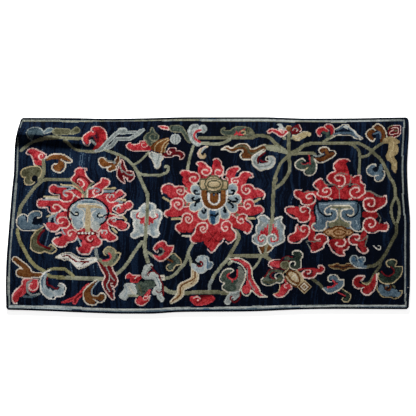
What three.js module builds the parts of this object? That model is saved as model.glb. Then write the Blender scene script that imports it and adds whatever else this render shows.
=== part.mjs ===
// A Tibetan sleeping rug, lying on the floor: one hand-knotted wool body and the wrapped wool edging that
// binds its four sides. It lies flat, apart from one soft fold that runs in from the left end and dies out.
//
// Millimetres, +Z up. X runs along the rug, Y across it, and the underside lies at Z = 0.
// Each piece is first laid out on an even rectangle. laid() then moves it to where it lies in the real,
// uneven outline, and lifts it over the fold.
import * as THREE from "three";

// Driving dimensions.
const LENGTH = 1744;
const WIDTH = 856;
const THICKNESS = 12; // knotted foundation and clipped pile together
const EDGING_WIDTH = 8; // the wool wrapping, seen from above
const EDGING_CROWN = 0.8; // how far the wrapping stands above the pile
const CORNER_RADIUS = 16;
const SEAM_GAP = 0.3; // between two pieces that are sewn together

const HALF_LENGTH = LENGTH / 2;
const HALF_WIDTH = WIDTH / 2;
const BODY_INSET = EDGING_WIDTH + SEAM_GAP;
const BODY_CORNER = CORNER_RADIUS - BODY_INSET;

// How far each side lies inside the rectangle of LENGTH by WIDTH. "at" is the place along that side.
const LEFT_END = [
  { at: -428, inset: 7 },
  { at: -330, inset: 2 },
  { at: -240, inset: 0 },
  { at: -70, inset: 5 },
  { at: 100, inset: 12 },
  { at: 190, inset: 17 },
  { at: 295, inset: 16 },
  { at: 325, inset: 20 },
  { at: 348, inset: 31 },
  { at: 390, inset: 34 },
  { at: 428, inset: 37 },
];
const RIGHT_END = [
  { at: -428, inset: 32 },
  { at: -330, inset: 24 },
  { at: -115, inset: 15 },
  { at: -30, inset: 12 },
  { at: 100, inset: 16 },
  { at: 200, inset: 15 },
  { at: 285, inset: 8 },
  { at: 350, inset: 2 },
  { at: 428, inset: 0 },
];
const FAR_SIDE = [
  { at: -872, inset: 3 },
  { at: -635, inset: 4 },
  { at: -480, inset: 7 },
  { at: -320, inset: 5 },
  { at: -110, inset: 0 },
  { at: 210, inset: 0 },
  { at: 420, inset: 6 },
  { at: 630, inset: 5 },
  { at: 872, inset: 1 },
];
const NEAR_SIDE = [
  { at: -872, inset: 16 },
  { at: -710, inset: 12 },
  { at: -510, inset: 4 },
  { at: -355, inset: 0 },
  { at: -255, inset: 0 },
  { at: -120, inset: 7 },
  { at: 200, inset: 10 },
  { at: 400, inset: 18 },
  { at: 560, inset: 20 },
  { at: 872, inset: 19 },
];

// The fold: where its crest lies, how high it lifts the cloth, and how wide its near and far slopes are.
const FOLD = [
  { at: -872, crest: 348, height: 30, near: 36, far: 62 },
  { at: -740, crest: 346, height: 28, near: 35, far: 62 },
  { at: -650, crest: 326, height: 21, near: 31, far: 60 },
  { at: -570, crest: 312, height: 13, near: 26, far: 58 },
  { at: -490, crest: 304, height: 5, near: 24, far: 56 },
  { at: -430, crest: 300, height: 0, near: 24, far: 56 },
];

// How far apart the grid lines of the knotted body lie, fine where the fold is.
const FOLD_RUN_STEP = 30;
const FOLD_SLOPE_STEP = 6;
const PLAIN_STEP = 84;
const FOLD_RUN_END = -410;
const FOLD_SLOPES_START = 262;

// A column's value between the rows of a table, on a smooth curve through them.
function columnAt(rows, column, at) {
  const last = rows.length - 1;
  if (at <= rows[0].at) return rows[0][column];
  if (at >= rows[last].at) return rows[last][column];
  const row = rows.findIndex((_, n) => at <= rows[n + 1].at);
  // Level at the ends, and at a peak or a dip, so that the curve never swings past a row's value.
  const slope = (n) => {
    if (n === 0 || n === last) return 0;
    const [before, here, after] = [rows[n - 1], rows[n], rows[n + 1]];
    if ((here[column] - before[column]) * (after[column] - here[column]) <= 0) return 0;
    return (after[column] - before[column]) / (after.at - before.at);
  };
  const span = rows[row + 1].at - rows[row].at;
  const t = (at - rows[row].at) / span;
  const rise = t * t * (3 - 2 * t);
  return (
    (1 - rise) * rows[row][column] +
    rise * rows[row + 1][column] +
    span * t * (1 - t) * ((1 - t) * slope(row) - t * slope(row + 1))
  );
}

// Where a point of the even rectangle lies, seen from above, in the rug's uneven outline.
function inOutline(x, y) {
  const left = -HALF_LENGTH + columnAt(LEFT_END, "inset", y);
  const right = HALF_LENGTH - columnAt(RIGHT_END, "inset", y);
  const near = -HALF_WIDTH + columnAt(NEAR_SIDE, "inset", x);
  const far = HALF_WIDTH - columnAt(FAR_SIDE, "inset", x);
  return [
    THREE.MathUtils.lerp(left, right, (x + HALF_LENGTH) / LENGTH),
    THREE.MathUtils.lerp(near, far, (y + HALF_WIDTH) / WIDTH),
  ];
}

// How high the fold lifts the cloth at a place seen from above.
function foldLift(x, y) {
  const height = columnAt(FOLD, "height", x);
  const fromCrest = y - columnAt(FOLD, "crest", x);
  const slope = columnAt(FOLD, fromCrest < 0 ? "near" : "far", x);
  const share = Math.min(Math.abs(fromCrest) / slope, 1);
  return (height * (1 + Math.cos(Math.PI * share))) / 2;
}

// The place in the lying rug of a point of the even rectangle, z above its underside.
function laid(x, y, z) {
  const [px, py] = inOutline(x, y);
  const reach = 0.5;
  const slopeX = (foldLift(px + reach, py) - foldLift(px - reach, py)) / (2 * reach);
  const slopeY = (foldLift(px, py + reach) - foldLift(px, py - reach)) / (2 * reach);
  const normal = new THREE.Vector3(-slopeX, -slopeY, 1).normalize();
  const middle = new THREE.Vector3(px, py, THICKNESS / 2 + foldLift(px, py));
  return middle.addScaledVector(normal, z - THICKNESS / 2);
}

// The whole numbers from 0 up to, but not including, count.
function countUp(count) {
  return Array.from({ length: count }, (_, n) => n);
}

// Evenly spaced places from one value to another, both included, no further apart than step.
function places(from, to, step) {
  const count = Math.ceil((to - from) / step);
  return countUp(count + 1).map((n) => from + ((to - from) * n) / count);
}

// The grid lines of the knotted body. The first and last two lie a corner's radius apart.
function gridLines(half, foldFrom, foldTo, foldStep) {
  const edge = half - BODY_INSET;
  const start = -edge + BODY_CORNER;
  const end = edge - BODY_CORNER;
  const from = Math.max(foldFrom, start);
  const to = Math.min(foldTo, end);
  const lines = [
    ...(from > start ? places(start, from, PLAIN_STEP).slice(0, -1) : []),
    ...places(from, to, foldStep),
    ...(to < end ? places(to, end, PLAIN_STEP).slice(1) : []),
  ];
  return [-edge, ...lines, edge];
}

const ACROSS_LENGTH = gridLines(HALF_LENGTH, -HALF_LENGTH, FOLD_RUN_END, FOLD_RUN_STEP);
const ACROSS_WIDTH = gridLines(HALF_WIDTH, FOLD_SLOPES_START, HALF_WIDTH, FOLD_SLOPE_STEP);

// A closed mesh from its points and its triangles' corners.
function solidGeometry(points, corners) {
  const geometry = new THREE.BufferGeometry().setFromPoints(points);
  geometry.setIndex(corners);
  geometry.computeVertexNormals();
  return geometry;
}

// The two triangles of the quadrilateral a, b, c, d, which runs anticlockwise seen from outside.
function quad(a, b, c, d) {
  return [a, b, c, a, c, d];
}

// The knotted body: a lower and an upper grid of points, joined round the rim. The rim is run anticlockwise,
// and its quadrilaterals are split along the same diagonals as the edging that lies against them.
function bodyGeometry() {
  const columns = ACROSS_LENGTH.length;
  const rows = ACROSS_WIDTH.length;
  const cornerPull = BODY_CORNER * (1 - Math.SQRT1_2);
  const points = [];
  for (const z of [0, THICKNESS]) {
    ACROSS_WIDTH.forEach((y, row) => {
      ACROSS_LENGTH.forEach((x, column) => {
        const onCorner = (row === 0 || row === rows - 1) && (column === 0 || column === columns - 1);
        const pull = onCorner ? cornerPull : 0;
        points.push(laid(x - Math.sign(x) * pull, y - Math.sign(y) * pull, z));
      });
    });
  }
  const at = (column, row, upper) => (upper * rows + row) * columns + column;
  const corners = [];
  for (let row = 0; row < rows - 1; row += 1) {
    for (let column = 0; column < columns - 1; column += 1) {
      const [c, r] = [column + 1, row + 1];
      corners.push(...quad(at(column, row, 1), at(c, row, 1), at(c, r, 1), at(column, r, 1)));
      corners.push(...quad(at(column, row, 0), at(column, r, 0), at(c, r, 0), at(c, row, 0)));
    }
  }
  const [lastColumn, lastRow] = [columns - 1, rows - 1];
  const rim = [
    ...countUp(lastColumn).map((n) => [n, 0]),
    ...countUp(lastRow).map((n) => [lastColumn, n]),
    ...countUp(lastColumn).map((n) => [lastColumn - n, lastRow]),
    ...countUp(lastRow).map((n) => [0, lastRow - n]),
  ];
  rim.forEach((here, n) => {
    const next = rim[(n + 1) % rim.length];
    corners.push(...quad(at(...next, 0), at(...next, 1), at(...here, 1), at(...here, 0)));
  });
  return solidGeometry(points, corners);
}

// The wrapping's section: how far each corner lies in from the rug's outer edge, and its height.
const EDGING_SECTION = [
  { inward: EDGING_WIDTH, height: 0 },
  { inward: 3.2, height: 0 },
  { inward: 0.9, height: 1.6 },
  { inward: 0, height: 5 },
  { inward: 0.3, height: 8.6 },
  { inward: 1.9, height: 11.6 },
  { inward: 4.6, height: THICKNESS + EDGING_CROWN },
  { inward: EDGING_WIDTH, height: THICKNESS + EDGING_CROWN / 2 },
];

// One side's stations on the even rectangle: its outer edge point and the direction out of the rug there.
// Both ends run round half of a corner, and stop half a seam short of the mitre.
function sideStations(alongLines, half, acrossHalf) {
  const turn = Math.PI / 4;
  const mitre = turn - SEAM_GAP / 2 / (CORNER_RADIUS - EDGING_WIDTH);
  const corner = (side, angle) => ({
    along: side * (half - CORNER_RADIUS + CORNER_RADIUS * Math.sin(angle)),
    out: acrossHalf - CORNER_RADIUS + CORNER_RADIUS * Math.cos(angle),
    lean: side * angle,
  });
  const straight = alongLines.slice(1, -1).map((along) => ({ along, out: acrossHalf, lean: 0 }));
  return [corner(-1, mitre), corner(-1, turn / 2), ...straight, corner(1, turn / 2), corner(1, mitre)];
}

// The wrapping of one side. place() turns its (along, outward) into the even rectangle's (x, y).
function edgingGeometry(stations, place) {
  const points = stations.flatMap(({ along, out, lean }) =>
    EDGING_SECTION.map(({ inward, height }) => {
      const [x, y] = place(along - inward * Math.sin(lean), out - inward * Math.cos(lean));
      return laid(x, y, height);
    }),
  );
  const sides = EDGING_SECTION.length;
  const last = (stations.length - 1) * sides;
  const corners = [];
  for (let ring = 0; ring < last; ring += sides) {
    for (let side = 0; side < sides; side += 1) {
      const next = (side + 1) % sides;
      corners.push(...quad(ring + side, ring + sides + side, ring + sides + next, ring + next));
    }
  }
  for (let side = 1; side < sides - 1; side += 1) {
    corners.push(0, side, side + 1);
    corners.push(last, last + side + 1, last + side);
  }
  return solidGeometry(points, corners);
}

const PILE_WOOL = new THREE.MeshStandardMaterial({ color: 0x18233d, roughness: 0.95, metalness: 0 });
const EDGING_WOOL = new THREE.MeshStandardMaterial({ color: 0x0f1626, roughness: 0.95, metalness: 0 });

const LONG_STATIONS = sideStations(ACROSS_LENGTH, HALF_LENGTH, HALF_WIDTH);
const SHORT_STATIONS = sideStations(ACROSS_WIDTH, HALF_WIDTH, HALF_LENGTH);
const reversed = (stations) =>
  stations.map(({ along, out, lean }) => ({ along: -along, out, lean: -lean })).reverse();

const rug = new THREE.Group();

function addPiece(name, geometry, material) {
  const piece = new THREE.Mesh(geometry, material);
  piece.name = name;
  rug.add(piece);
}

addPiece("knotted_body", bodyGeometry(), PILE_WOOL);
addPiece(
  "edging_near",
  edgingGeometry(LONG_STATIONS, (along, out) => [along, -out]),
  EDGING_WOOL,
);
addPiece(
  "edging_far",
  edgingGeometry(reversed(LONG_STATIONS), (along, out) => [-along, out]),
  EDGING_WOOL,
);
addPiece(
  "edging_right",
  edgingGeometry(SHORT_STATIONS, (along, out) => [out, along]),
  EDGING_WOOL,
);
addPiece(
  "edging_left",
  edgingGeometry(reversed(SHORT_STATIONS), (along, out) => [-out, -along]),
  EDGING_WOOL,
);

export default rug;
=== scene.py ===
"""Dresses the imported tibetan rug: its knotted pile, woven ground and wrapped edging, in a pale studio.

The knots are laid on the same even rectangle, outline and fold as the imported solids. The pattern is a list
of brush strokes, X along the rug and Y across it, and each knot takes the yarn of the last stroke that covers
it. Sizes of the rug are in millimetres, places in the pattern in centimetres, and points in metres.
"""

import logging
import math
from dataclasses import dataclass, field
from enum import Enum

import bmesh
import bpy
import numpy as np
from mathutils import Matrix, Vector


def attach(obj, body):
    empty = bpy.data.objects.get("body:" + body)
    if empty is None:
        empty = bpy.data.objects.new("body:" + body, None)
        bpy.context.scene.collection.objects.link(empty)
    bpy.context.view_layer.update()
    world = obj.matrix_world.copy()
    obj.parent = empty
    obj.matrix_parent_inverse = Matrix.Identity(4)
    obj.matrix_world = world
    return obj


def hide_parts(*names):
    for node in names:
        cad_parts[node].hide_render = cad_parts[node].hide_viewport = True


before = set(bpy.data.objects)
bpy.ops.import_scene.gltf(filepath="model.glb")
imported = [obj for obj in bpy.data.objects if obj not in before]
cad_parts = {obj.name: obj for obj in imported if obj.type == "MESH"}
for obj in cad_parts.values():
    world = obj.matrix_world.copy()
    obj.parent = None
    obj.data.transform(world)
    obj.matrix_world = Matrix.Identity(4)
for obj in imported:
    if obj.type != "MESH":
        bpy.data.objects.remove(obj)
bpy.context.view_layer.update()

MM = 0.001
CM = 10.0
BODY = "root"
SEED = 1744
LOT = "dye_lot_and_groove_shade"

Colour = tuple[float, float, float]

log = logging.getLogger("tibetan_rug")


def eased(share: np.ndarray) -> np.ndarray:
    """Eases a share from 0 to 1, so that it starts and ends level."""
    return share * share * (3 - 2 * share)


@dataclass(frozen=True)
class Profile:
    """A smooth line through (place, value) rows in millimetres, level at its ends, peaks and dips."""

    rows: tuple[tuple[float, float], ...]

    def at(self, where: np.ndarray) -> np.ndarray:
        """Reads the line.

        Args:
            where: places along it.

        Returns:
            The line's value at each place.
        """
        places, values = np.array(self.rows, dtype=float).T
        rise = np.diff(values)
        slopes = np.zeros_like(values)
        through = (values[2:] - values[:-2]) / (places[2:] - places[:-2])
        slopes[1:-1] = np.where(rise[:-1] * rise[1:] > 0, through, 0.0)
        where = np.clip(where, places[0], places[-1])
        row = np.clip(np.searchsorted(places, where) - 1, 0, len(places) - 2)
        span = places[row + 1] - places[row]
        t = (where - places[row]) / span
        ease = eased(t)
        bow = span * t * (1 - t) * ((1 - t) * slopes[row] - t * slopes[row + 1])
        return (1 - ease) * values[row] + ease * values[row + 1] + bow


@dataclass(frozen=True)
class RugLay:
    """The rug's even rectangle and how it lies, in millimetres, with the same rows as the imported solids."""

    length: float = 1744.0
    width: float = 856.0
    thickness: float = 12.0
    edging_width: float = 8.0
    corner_radius: float = 16.0
    seam_gap: float = 0.3
    left_end: Profile = Profile(
        ((-428, 7), (-330, 2), (-240, 0), (-70, 5), (100, 12), (190, 17), (295, 16), (325, 20), (348, 31),
         (390, 34), (428, 37)))
    right_end: Profile = Profile(
        ((-428, 32), (-330, 24), (-115, 15), (-30, 12), (100, 16), (200, 15), (285, 8), (350, 2), (428, 0)))
    far_side: Profile = Profile(
        ((-872, 3), (-635, 4), (-480, 7), (-320, 5), (-110, 0), (210, 0), (420, 6), (630, 5), (872, 1)))
    near_side: Profile = Profile(
        ((-872, 16), (-710, 12), (-510, 4), (-355, 0), (-255, 0), (-120, 7), (200, 10), (400, 18), (560, 20),
         (872, 19)))
    fold_crest: Profile = Profile(
        ((-872, 348), (-740, 346), (-650, 326), (-570, 312), (-490, 304), (-430, 300)))
    fold_height: Profile = Profile(
        ((-872, 30), (-740, 28), (-650, 21), (-570, 13), (-490, 5), (-430, 0)))
    fold_near: Profile = Profile(
        ((-872, 36), (-740, 35), (-650, 31), (-570, 26), (-490, 24), (-430, 24)))
    fold_far: Profile = Profile(
        ((-872, 62), (-740, 62), (-650, 60), (-570, 58), (-490, 56), (-430, 56)))
    slope_reach: float = 0.5

    @property
    def body_inset(self) -> float:
        """How far the knotted body starts inside the rectangle."""
        return self.edging_width + self.seam_gap

    @property
    def body_half(self) -> tuple[float, float]:
        """How far the knotted body reaches from the middle, along and across."""
        return self.length / 2 - self.body_inset, self.width / 2 - self.body_inset

    def in_outline(self, x: np.ndarray, y: np.ndarray) -> tuple[np.ndarray, np.ndarray]:
        """Moves places on the even rectangle into the uneven outline.

        Args:
            x: places along the rug.
            y: places across it.

        Returns:
            Where they lie, seen from above.
        """
        half_length, half_width = self.length / 2, self.width / 2
        left = -half_length + self.left_end.at(y)
        right = half_length - self.right_end.at(y)
        near = -half_width + self.near_side.at(x)
        far = half_width - self.far_side.at(x)
        along = (x + half_length) / self.length
        across = (y + half_width) / self.width
        return left + (right - left) * along, near + (far - near) * across

    def fold_lift(self, x: np.ndarray, y: np.ndarray) -> np.ndarray:
        """Gives how high the fold lifts the rug.

        Args:
            x: places along the rug, as they lie.
            y: places across it, as they lie.

        Returns:
            The lift at each place.
        """
        from_crest = y - self.fold_crest.at(x)
        slope = np.where(from_crest < 0, self.fold_near.at(x), self.fold_far.at(x))
        share = np.minimum(np.abs(from_crest) / slope, 1.0)
        return self.fold_height.at(x) * (1 + np.cos(np.pi * share)) / 2

    def laid(self, x: np.ndarray, y: np.ndarray, z: np.ndarray) -> np.ndarray:
        """Lays points of the even slab where they lie on the floor.

        Args:
            x: places along the even slab.
            y: places across it.
            z: heights over its underside.

        Returns:
            One row of X, Y and Z in metres for each point.
        """
        px, py = self.in_outline(x, y)
        reach = self.slope_reach
        slope_x = (self.fold_lift(px + reach, py) - self.fold_lift(px - reach, py)) / (2 * reach)
        slope_y = (self.fold_lift(px, py + reach) - self.fold_lift(px, py - reach)) / (2 * reach)
        steep = np.sqrt(slope_x ** 2 + slope_y ** 2 + 1)
        off = (z - self.thickness / 2) / steep
        middle = self.thickness / 2 + self.fold_lift(px, py)
        return np.stack([px - slope_x * off, py - slope_y * off, middle + off], axis=-1) * MM


LAY = RugLay()


def dye(red: int, green: int, blue: int) -> Colour:
    """Turns a colour as the eye reads it on a screen into scene-linear light.

    Args:
        red: from 0 to 255.
        green: from 0 to 255.
        blue: from 0 to 255.

    Returns:
        The linear red, green and blue.
    """
    shares = [value / 255 for value in (red, green, blue)]
    return tuple(s / 12.92 if s <= 0.04045 else ((s + 0.055) / 1.055) ** 2.4 for s in shares)


@dataclass
class Shading:
    """A material in the making: its shader, and the steps that the rug's finishes share."""

    name: str
    roughness: float
    specular: float

    def __post_init__(self) -> None:
        """Starts the material."""
        self.material = bpy.data.materials.new(self.name)
        self.material.use_nodes = True
        self.nodes = self.material.node_tree.nodes
        self.links = self.material.node_tree.links
        self.shader = self.nodes["Principled BSDF"]
        self.shader.inputs["Roughness"].default_value = self.roughness
        self.shader.inputs["Specular IOR Level"].default_value = self.specular

    def carried(self, attribute: str, output: str) -> bpy.types.NodeSocket:
        """Reads what the mesh carries at a place.

        Args:
            attribute: the attribute's name.
            output: which of the node's outputs is read.

        Returns:
            The output.
        """
        node = self.nodes.new("ShaderNodeAttribute")
        node.attribute_name = attribute
        return node.outputs[output]

    def texture(self, kind: str, **settings: float) -> bpy.types.NodeSocket:
        """Adds a texture that lies still on the piece.

        Args:
            kind: the texture node's type.
            settings: the values of its inputs.

        Returns:
            Its strength.
        """
        place = self.nodes.new("ShaderNodeTexCoord")
        texture = self.nodes.new(kind)
        for name, value in settings.items():
            texture.inputs[name].default_value = value
        self.links.new(place.outputs["Object"], texture.inputs["Vector"])
        return texture.outputs["Fac"]

    def shade(self, colour: bpy.types.NodeSocket, pattern: bpy.types.NodeSocket,
              taken: tuple[float, float], tones: tuple[float, float]) -> None:
        """Makes the base colour, darker and lighter with a pattern.

        Args:
            colour: the even colour.
            pattern: the pattern's strength.
            taken: the part of the pattern's range that is used.
            tones: what the colour is multiplied by at both ends of it.
        """
        strength = self.nodes.new("ShaderNodeMapRange")
        for name, value in zip(("From Min", "From Max", "To Min", "To Max"), (*taken, *tones)):
            strength.inputs[name].default_value = value
        self.links.new(pattern, strength.inputs["Value"])
        toned = self.nodes.new("ShaderNodeVectorMath")
        toned.operation = "SCALE"
        self.links.new(colour, toned.inputs[0])
        self.links.new(strength.outputs["Result"], toned.inputs["Scale"])
        self.links.new(toned.outputs["Vector"], self.shader.inputs["Base Color"])

    def relief(self, pattern: bpy.types.NodeSocket, strength: float, depth: float) -> None:
        """Raises the surface by a pattern.

        Args:
            pattern: the pattern's strength.
            strength: how much of it is taken, from 0 to 1.
            depth: how high it stands in metres.
        """
        bump = self.nodes.new("ShaderNodeBump")
        bump.inputs["Strength"].default_value = strength
        bump.inputs["Distance"].default_value = depth
        self.links.new(pattern, bump.inputs["Height"])
        self.links.new(bump.outputs["Normal"], self.shader.inputs["Normal"])


@dataclass(frozen=True)
class WoolFinish:
    """One dyed wool: its colour where the dye took deepest, where it took evenly, and where it faded."""

    deep: Colour
    even: Colour
    faded: Colour
    roughness: float = 0.92
    specular: float = 0.04
    fleck_scale: float = 420.0
    fleck_detail: float = 3.0
    fleck_taken: tuple[float, float] = (0.3, 0.7)
    fleck_tones: tuple[float, float] = (0.72, 1.3)
    fibre_scale: float = 1500.0
    fibre_detail: float = 2.0
    fibre_strength: float = 0.5
    fibre_depth: float = 0.0005

    def material(self, name: str) -> bpy.types.Material:
        """Builds the wool's shader: dye lots, with painted shade in the edging's grooves, flecks and fibres.

        Args:
            name: the material's name.

        Returns:
            The new material.
        """
        made = Shading(name, self.roughness, self.specular)
        ramp = made.nodes.new("ShaderNodeValToRGB")
        stops = ramp.color_ramp.elements
        stops[0].color = (*self.deep, 1)
        stops[1].color = (*self.faded, 1)
        stops.new(0.5).color = (*self.even, 1)
        made.links.new(made.carried(LOT, "Fac"), ramp.inputs["Fac"])
        fleck = made.texture("ShaderNodeTexNoise", Scale=self.fleck_scale, Detail=self.fleck_detail)
        made.shade(ramp.outputs["Color"], fleck, self.fleck_taken, self.fleck_tones)
        fibre = made.texture("ShaderNodeTexNoise", Scale=self.fibre_scale, Detail=self.fibre_detail)
        made.relief(fibre, self.fibre_strength, self.fibre_depth)
        return made.material


class Yarn(Enum):
    """The dyed wools, each knotted as a piece of its own.

    Each has its name, and its colour as the eye reads it on a screen where the dye took deepest, where it
    took evenly, and where it faded.
    """

    DEEP_INDIGO = "deep_indigo", (3, 8, 19), (8, 15, 32), (12, 23, 44)
    INDIGO = "indigo", (9, 18, 36), (14, 27, 48), (26, 44, 68)
    FADED_INDIGO = "faded_indigo", (26, 44, 68), (44, 66, 90), (82, 104, 124)
    NAVY = "black_navy", (2, 5, 12), (5, 10, 21), (12, 22, 40)
    ROSE = "rose_red", (118, 16, 28), (182, 50, 58), (212, 94, 100)
    MADDER = "madder_red", (112, 16, 22), (173, 42, 48), (198, 74, 78)
    WINE = "wine_red", (60, 4, 10), (98, 14, 22), (132, 38, 42)
    GARNET = "garnet_red", (96, 12, 17), (152, 33, 38), (176, 62, 66)
    PINK = "pink_cream", (178, 142, 134), (212, 186, 178), (232, 216, 208)
    CREAM = "cream", (166, 158, 140), (204, 198, 182), (228, 222, 210)
    TAN = "tan", (142, 126, 92), (184, 170, 132), (208, 194, 160)
    GOLD = "straw_gold", (142, 122, 86), (182, 164, 130), (206, 192, 162)
    KHAKI = "khaki", (122, 106, 74), (158, 140, 102), (184, 168, 130)
    FAWN = "fawn_brown", (120, 84, 54), (164, 130, 94), (190, 158, 120)
    BROWN = "walnut_brown", (60, 28, 12), (100, 58, 27), (130, 86, 48)
    CHESTNUT = "chestnut", (74, 38, 14), (119, 71, 33), (148, 98, 56)
    OLIVE = "olive_green", (88, 88, 68), (125, 124, 99), (152, 151, 128)
    SAGE = "sage_yellow", (94, 92, 58), (138, 134, 94), (164, 160, 120)
    REED = "reed_green", (108, 110, 90), (146, 148, 126), (176, 176, 154)
    BOTTLE = "bottle_green", (32, 46, 43), (67, 79, 70), (102, 114, 102)
    PINE = "pine_green", (16, 26, 26), (38, 50, 43), (66, 80, 68)
    MOSS = "moss_green", (52, 51, 36), (84, 83, 62), (116, 115, 92)
    SLATE = "slate_blue", (50, 70, 86), (84, 104, 119), (120, 140, 150)
    STEEL = "steel_blue", (40, 56, 64), (72, 90, 99), (106, 124, 132)
    PALE = "pale_blue_grey", (110, 127, 135), (142, 156, 162), (182, 193, 197)
    WHITE = "grey_white", (134, 141, 140), (174, 180, 177), (206, 208, 203)
    IVORY = "ivory_white", (172, 170, 162), (214, 211, 203), (234, 232, 226)
    BLUE = "mid_blue", (24, 52, 78), (50, 84, 114), (92, 122, 144)
    GUARD = "guard_grey", (90, 98, 98), (131, 139, 137), (168, 172, 166)
    ASH = "ash_grey", (82, 84, 78), (114, 116, 107), (146, 148, 138)

    @property
    def label(self) -> str:
        """Its name within the names of pieces and materials."""
        return self.value[0]

    @property
    def finish(self) -> WoolFinish:
        """Its finish."""
        return WoolFinish(*(dye(*colour) for colour in self.value[1:]))


YARNS = list(Yarn)


@dataclass(frozen=True)
class Brush:
    """A stroke: a smooth line of (x, y, half width) points in centimetres."""

    points: tuple[tuple[float, float, float], ...]
    steps: int = 5
    spot_run: float = 0.001
    least_square: float = 1e-9

    def line(self) -> np.ndarray:
        """Gives the smooth line.

        Returns:
            One row of X, Y and half width for each point on the line.
        """
        points = np.array(self.points, dtype=float)
        if len(points) == 1:
            return np.repeat(points, 2, axis=0) + np.array([[0, 0, 0], [self.spot_run, 0, 0]])
        if len(points) == 2:
            return points
        ends = np.vstack([2 * points[0] - points[1], points, 2 * points[-1] - points[-2]])
        before, start, end, after = (ends[n:len(ends) - 3 + n, None] for n in range(4))
        t = np.linspace(0, 1, self.steps, endpoint=False)[None, :, None]
        curve = 0.5 * (2 * start + (end - before) * t + (2 * before - 5 * start + 4 * end - after) * t ** 2
                       + (3 * start - before - 3 * end + after) * t ** 3)
        return np.vstack([curve.reshape(-1, 3), points[-1:]])

    def outside(self, x: np.ndarray, y: np.ndarray) -> np.ndarray:
        """Measures places against the stroke.

        Args:
            x: places along the rug.
            y: places across it.

        Returns:
            How far each place lies outside the stroke's edge, less than zero inside it.
        """
        line = self.line()
        start, way = line[:-1, :2], np.diff(line[:, :2], axis=0)
        off_x, off_y = x[:, None] - start[:, 0], y[:, None] - start[:, 1]
        square = np.maximum((way ** 2).sum(axis=1), self.least_square)
        share = np.clip((off_x * way[:, 0] + off_y * way[:, 1]) / square, 0, 1)
        half = line[:-1, 2] + share * np.diff(line[:, 2])
        return (np.hypot(off_x - share * way[:, 0], off_y - share * way[:, 1]) - half).min(axis=1)


@dataclass(frozen=True)
class Layer:
    """Brush strokes knotted as one shape in one yarn, with a rim of another yarn or none."""

    yarn: Yarn
    rim: Yarn | None
    brushes: tuple[Brush, ...]
    rim_in: float = 0.16
    rim_out: float = 0.32


def brush(*points: tuple[float, float, float]) -> Brush:
    """Makes a stroke from (x, y, half width) points in centimetres, or a round spot from one such point."""
    return Brush(points)


def band(half_width: float, *points: tuple[float, ...]) -> Brush:
    """Makes a stroke of one width, but for the points that give a half width of their own.

    Args:
        half_width: for the points that give none.
        points: (x, y) or (x, y, half width) in centimetres.

    Returns:
        The stroke.
    """
    return Brush(tuple((*point[:2], point[2] if len(point) > 2 else half_width) for point in points))


def shape(yarn: Yarn, rim: Yarn | None, *brushes: Brush) -> Layer:
    """Joins strokes into one shape of a yarn, with a rim of another yarn or none."""
    return Layer(yarn, rim, brushes)


def lines(yarn: Yarn, half_width: float, *runs: tuple[tuple[float, ...], ...]) -> Layer:
    """Makes strokes of one yarn and half width without a rim, each from its points."""
    return Layer(yarn, None, tuple(band(half_width, *points) for points in runs))


def line(yarn: Yarn, half_width: float, *points: tuple[float, ...]) -> Layer:
    """Makes one stroke without a rim."""
    return lines(yarn, half_width, points)


def dots(yarn: Yarn, *places: tuple[float, float, float]) -> Layer:
    """Makes round spots, each given as its centre and radius."""
    return Layer(yarn, None, tuple(brush(place) for place in places))


def diamond(yarn: Yarn, half_width: float, x: float, y: float, reach_x: float, reach_y: float) -> Layer:
    """Makes the outline of a diamond from its centre and how far its corners reach."""
    corners = ((x + reach_x, y), (x, y + reach_y), (x - reach_x, y), (x, y - reach_y), (x + reach_x, y))
    return lines(yarn, half_width, *zip(corners, corners[1:]))


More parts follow.
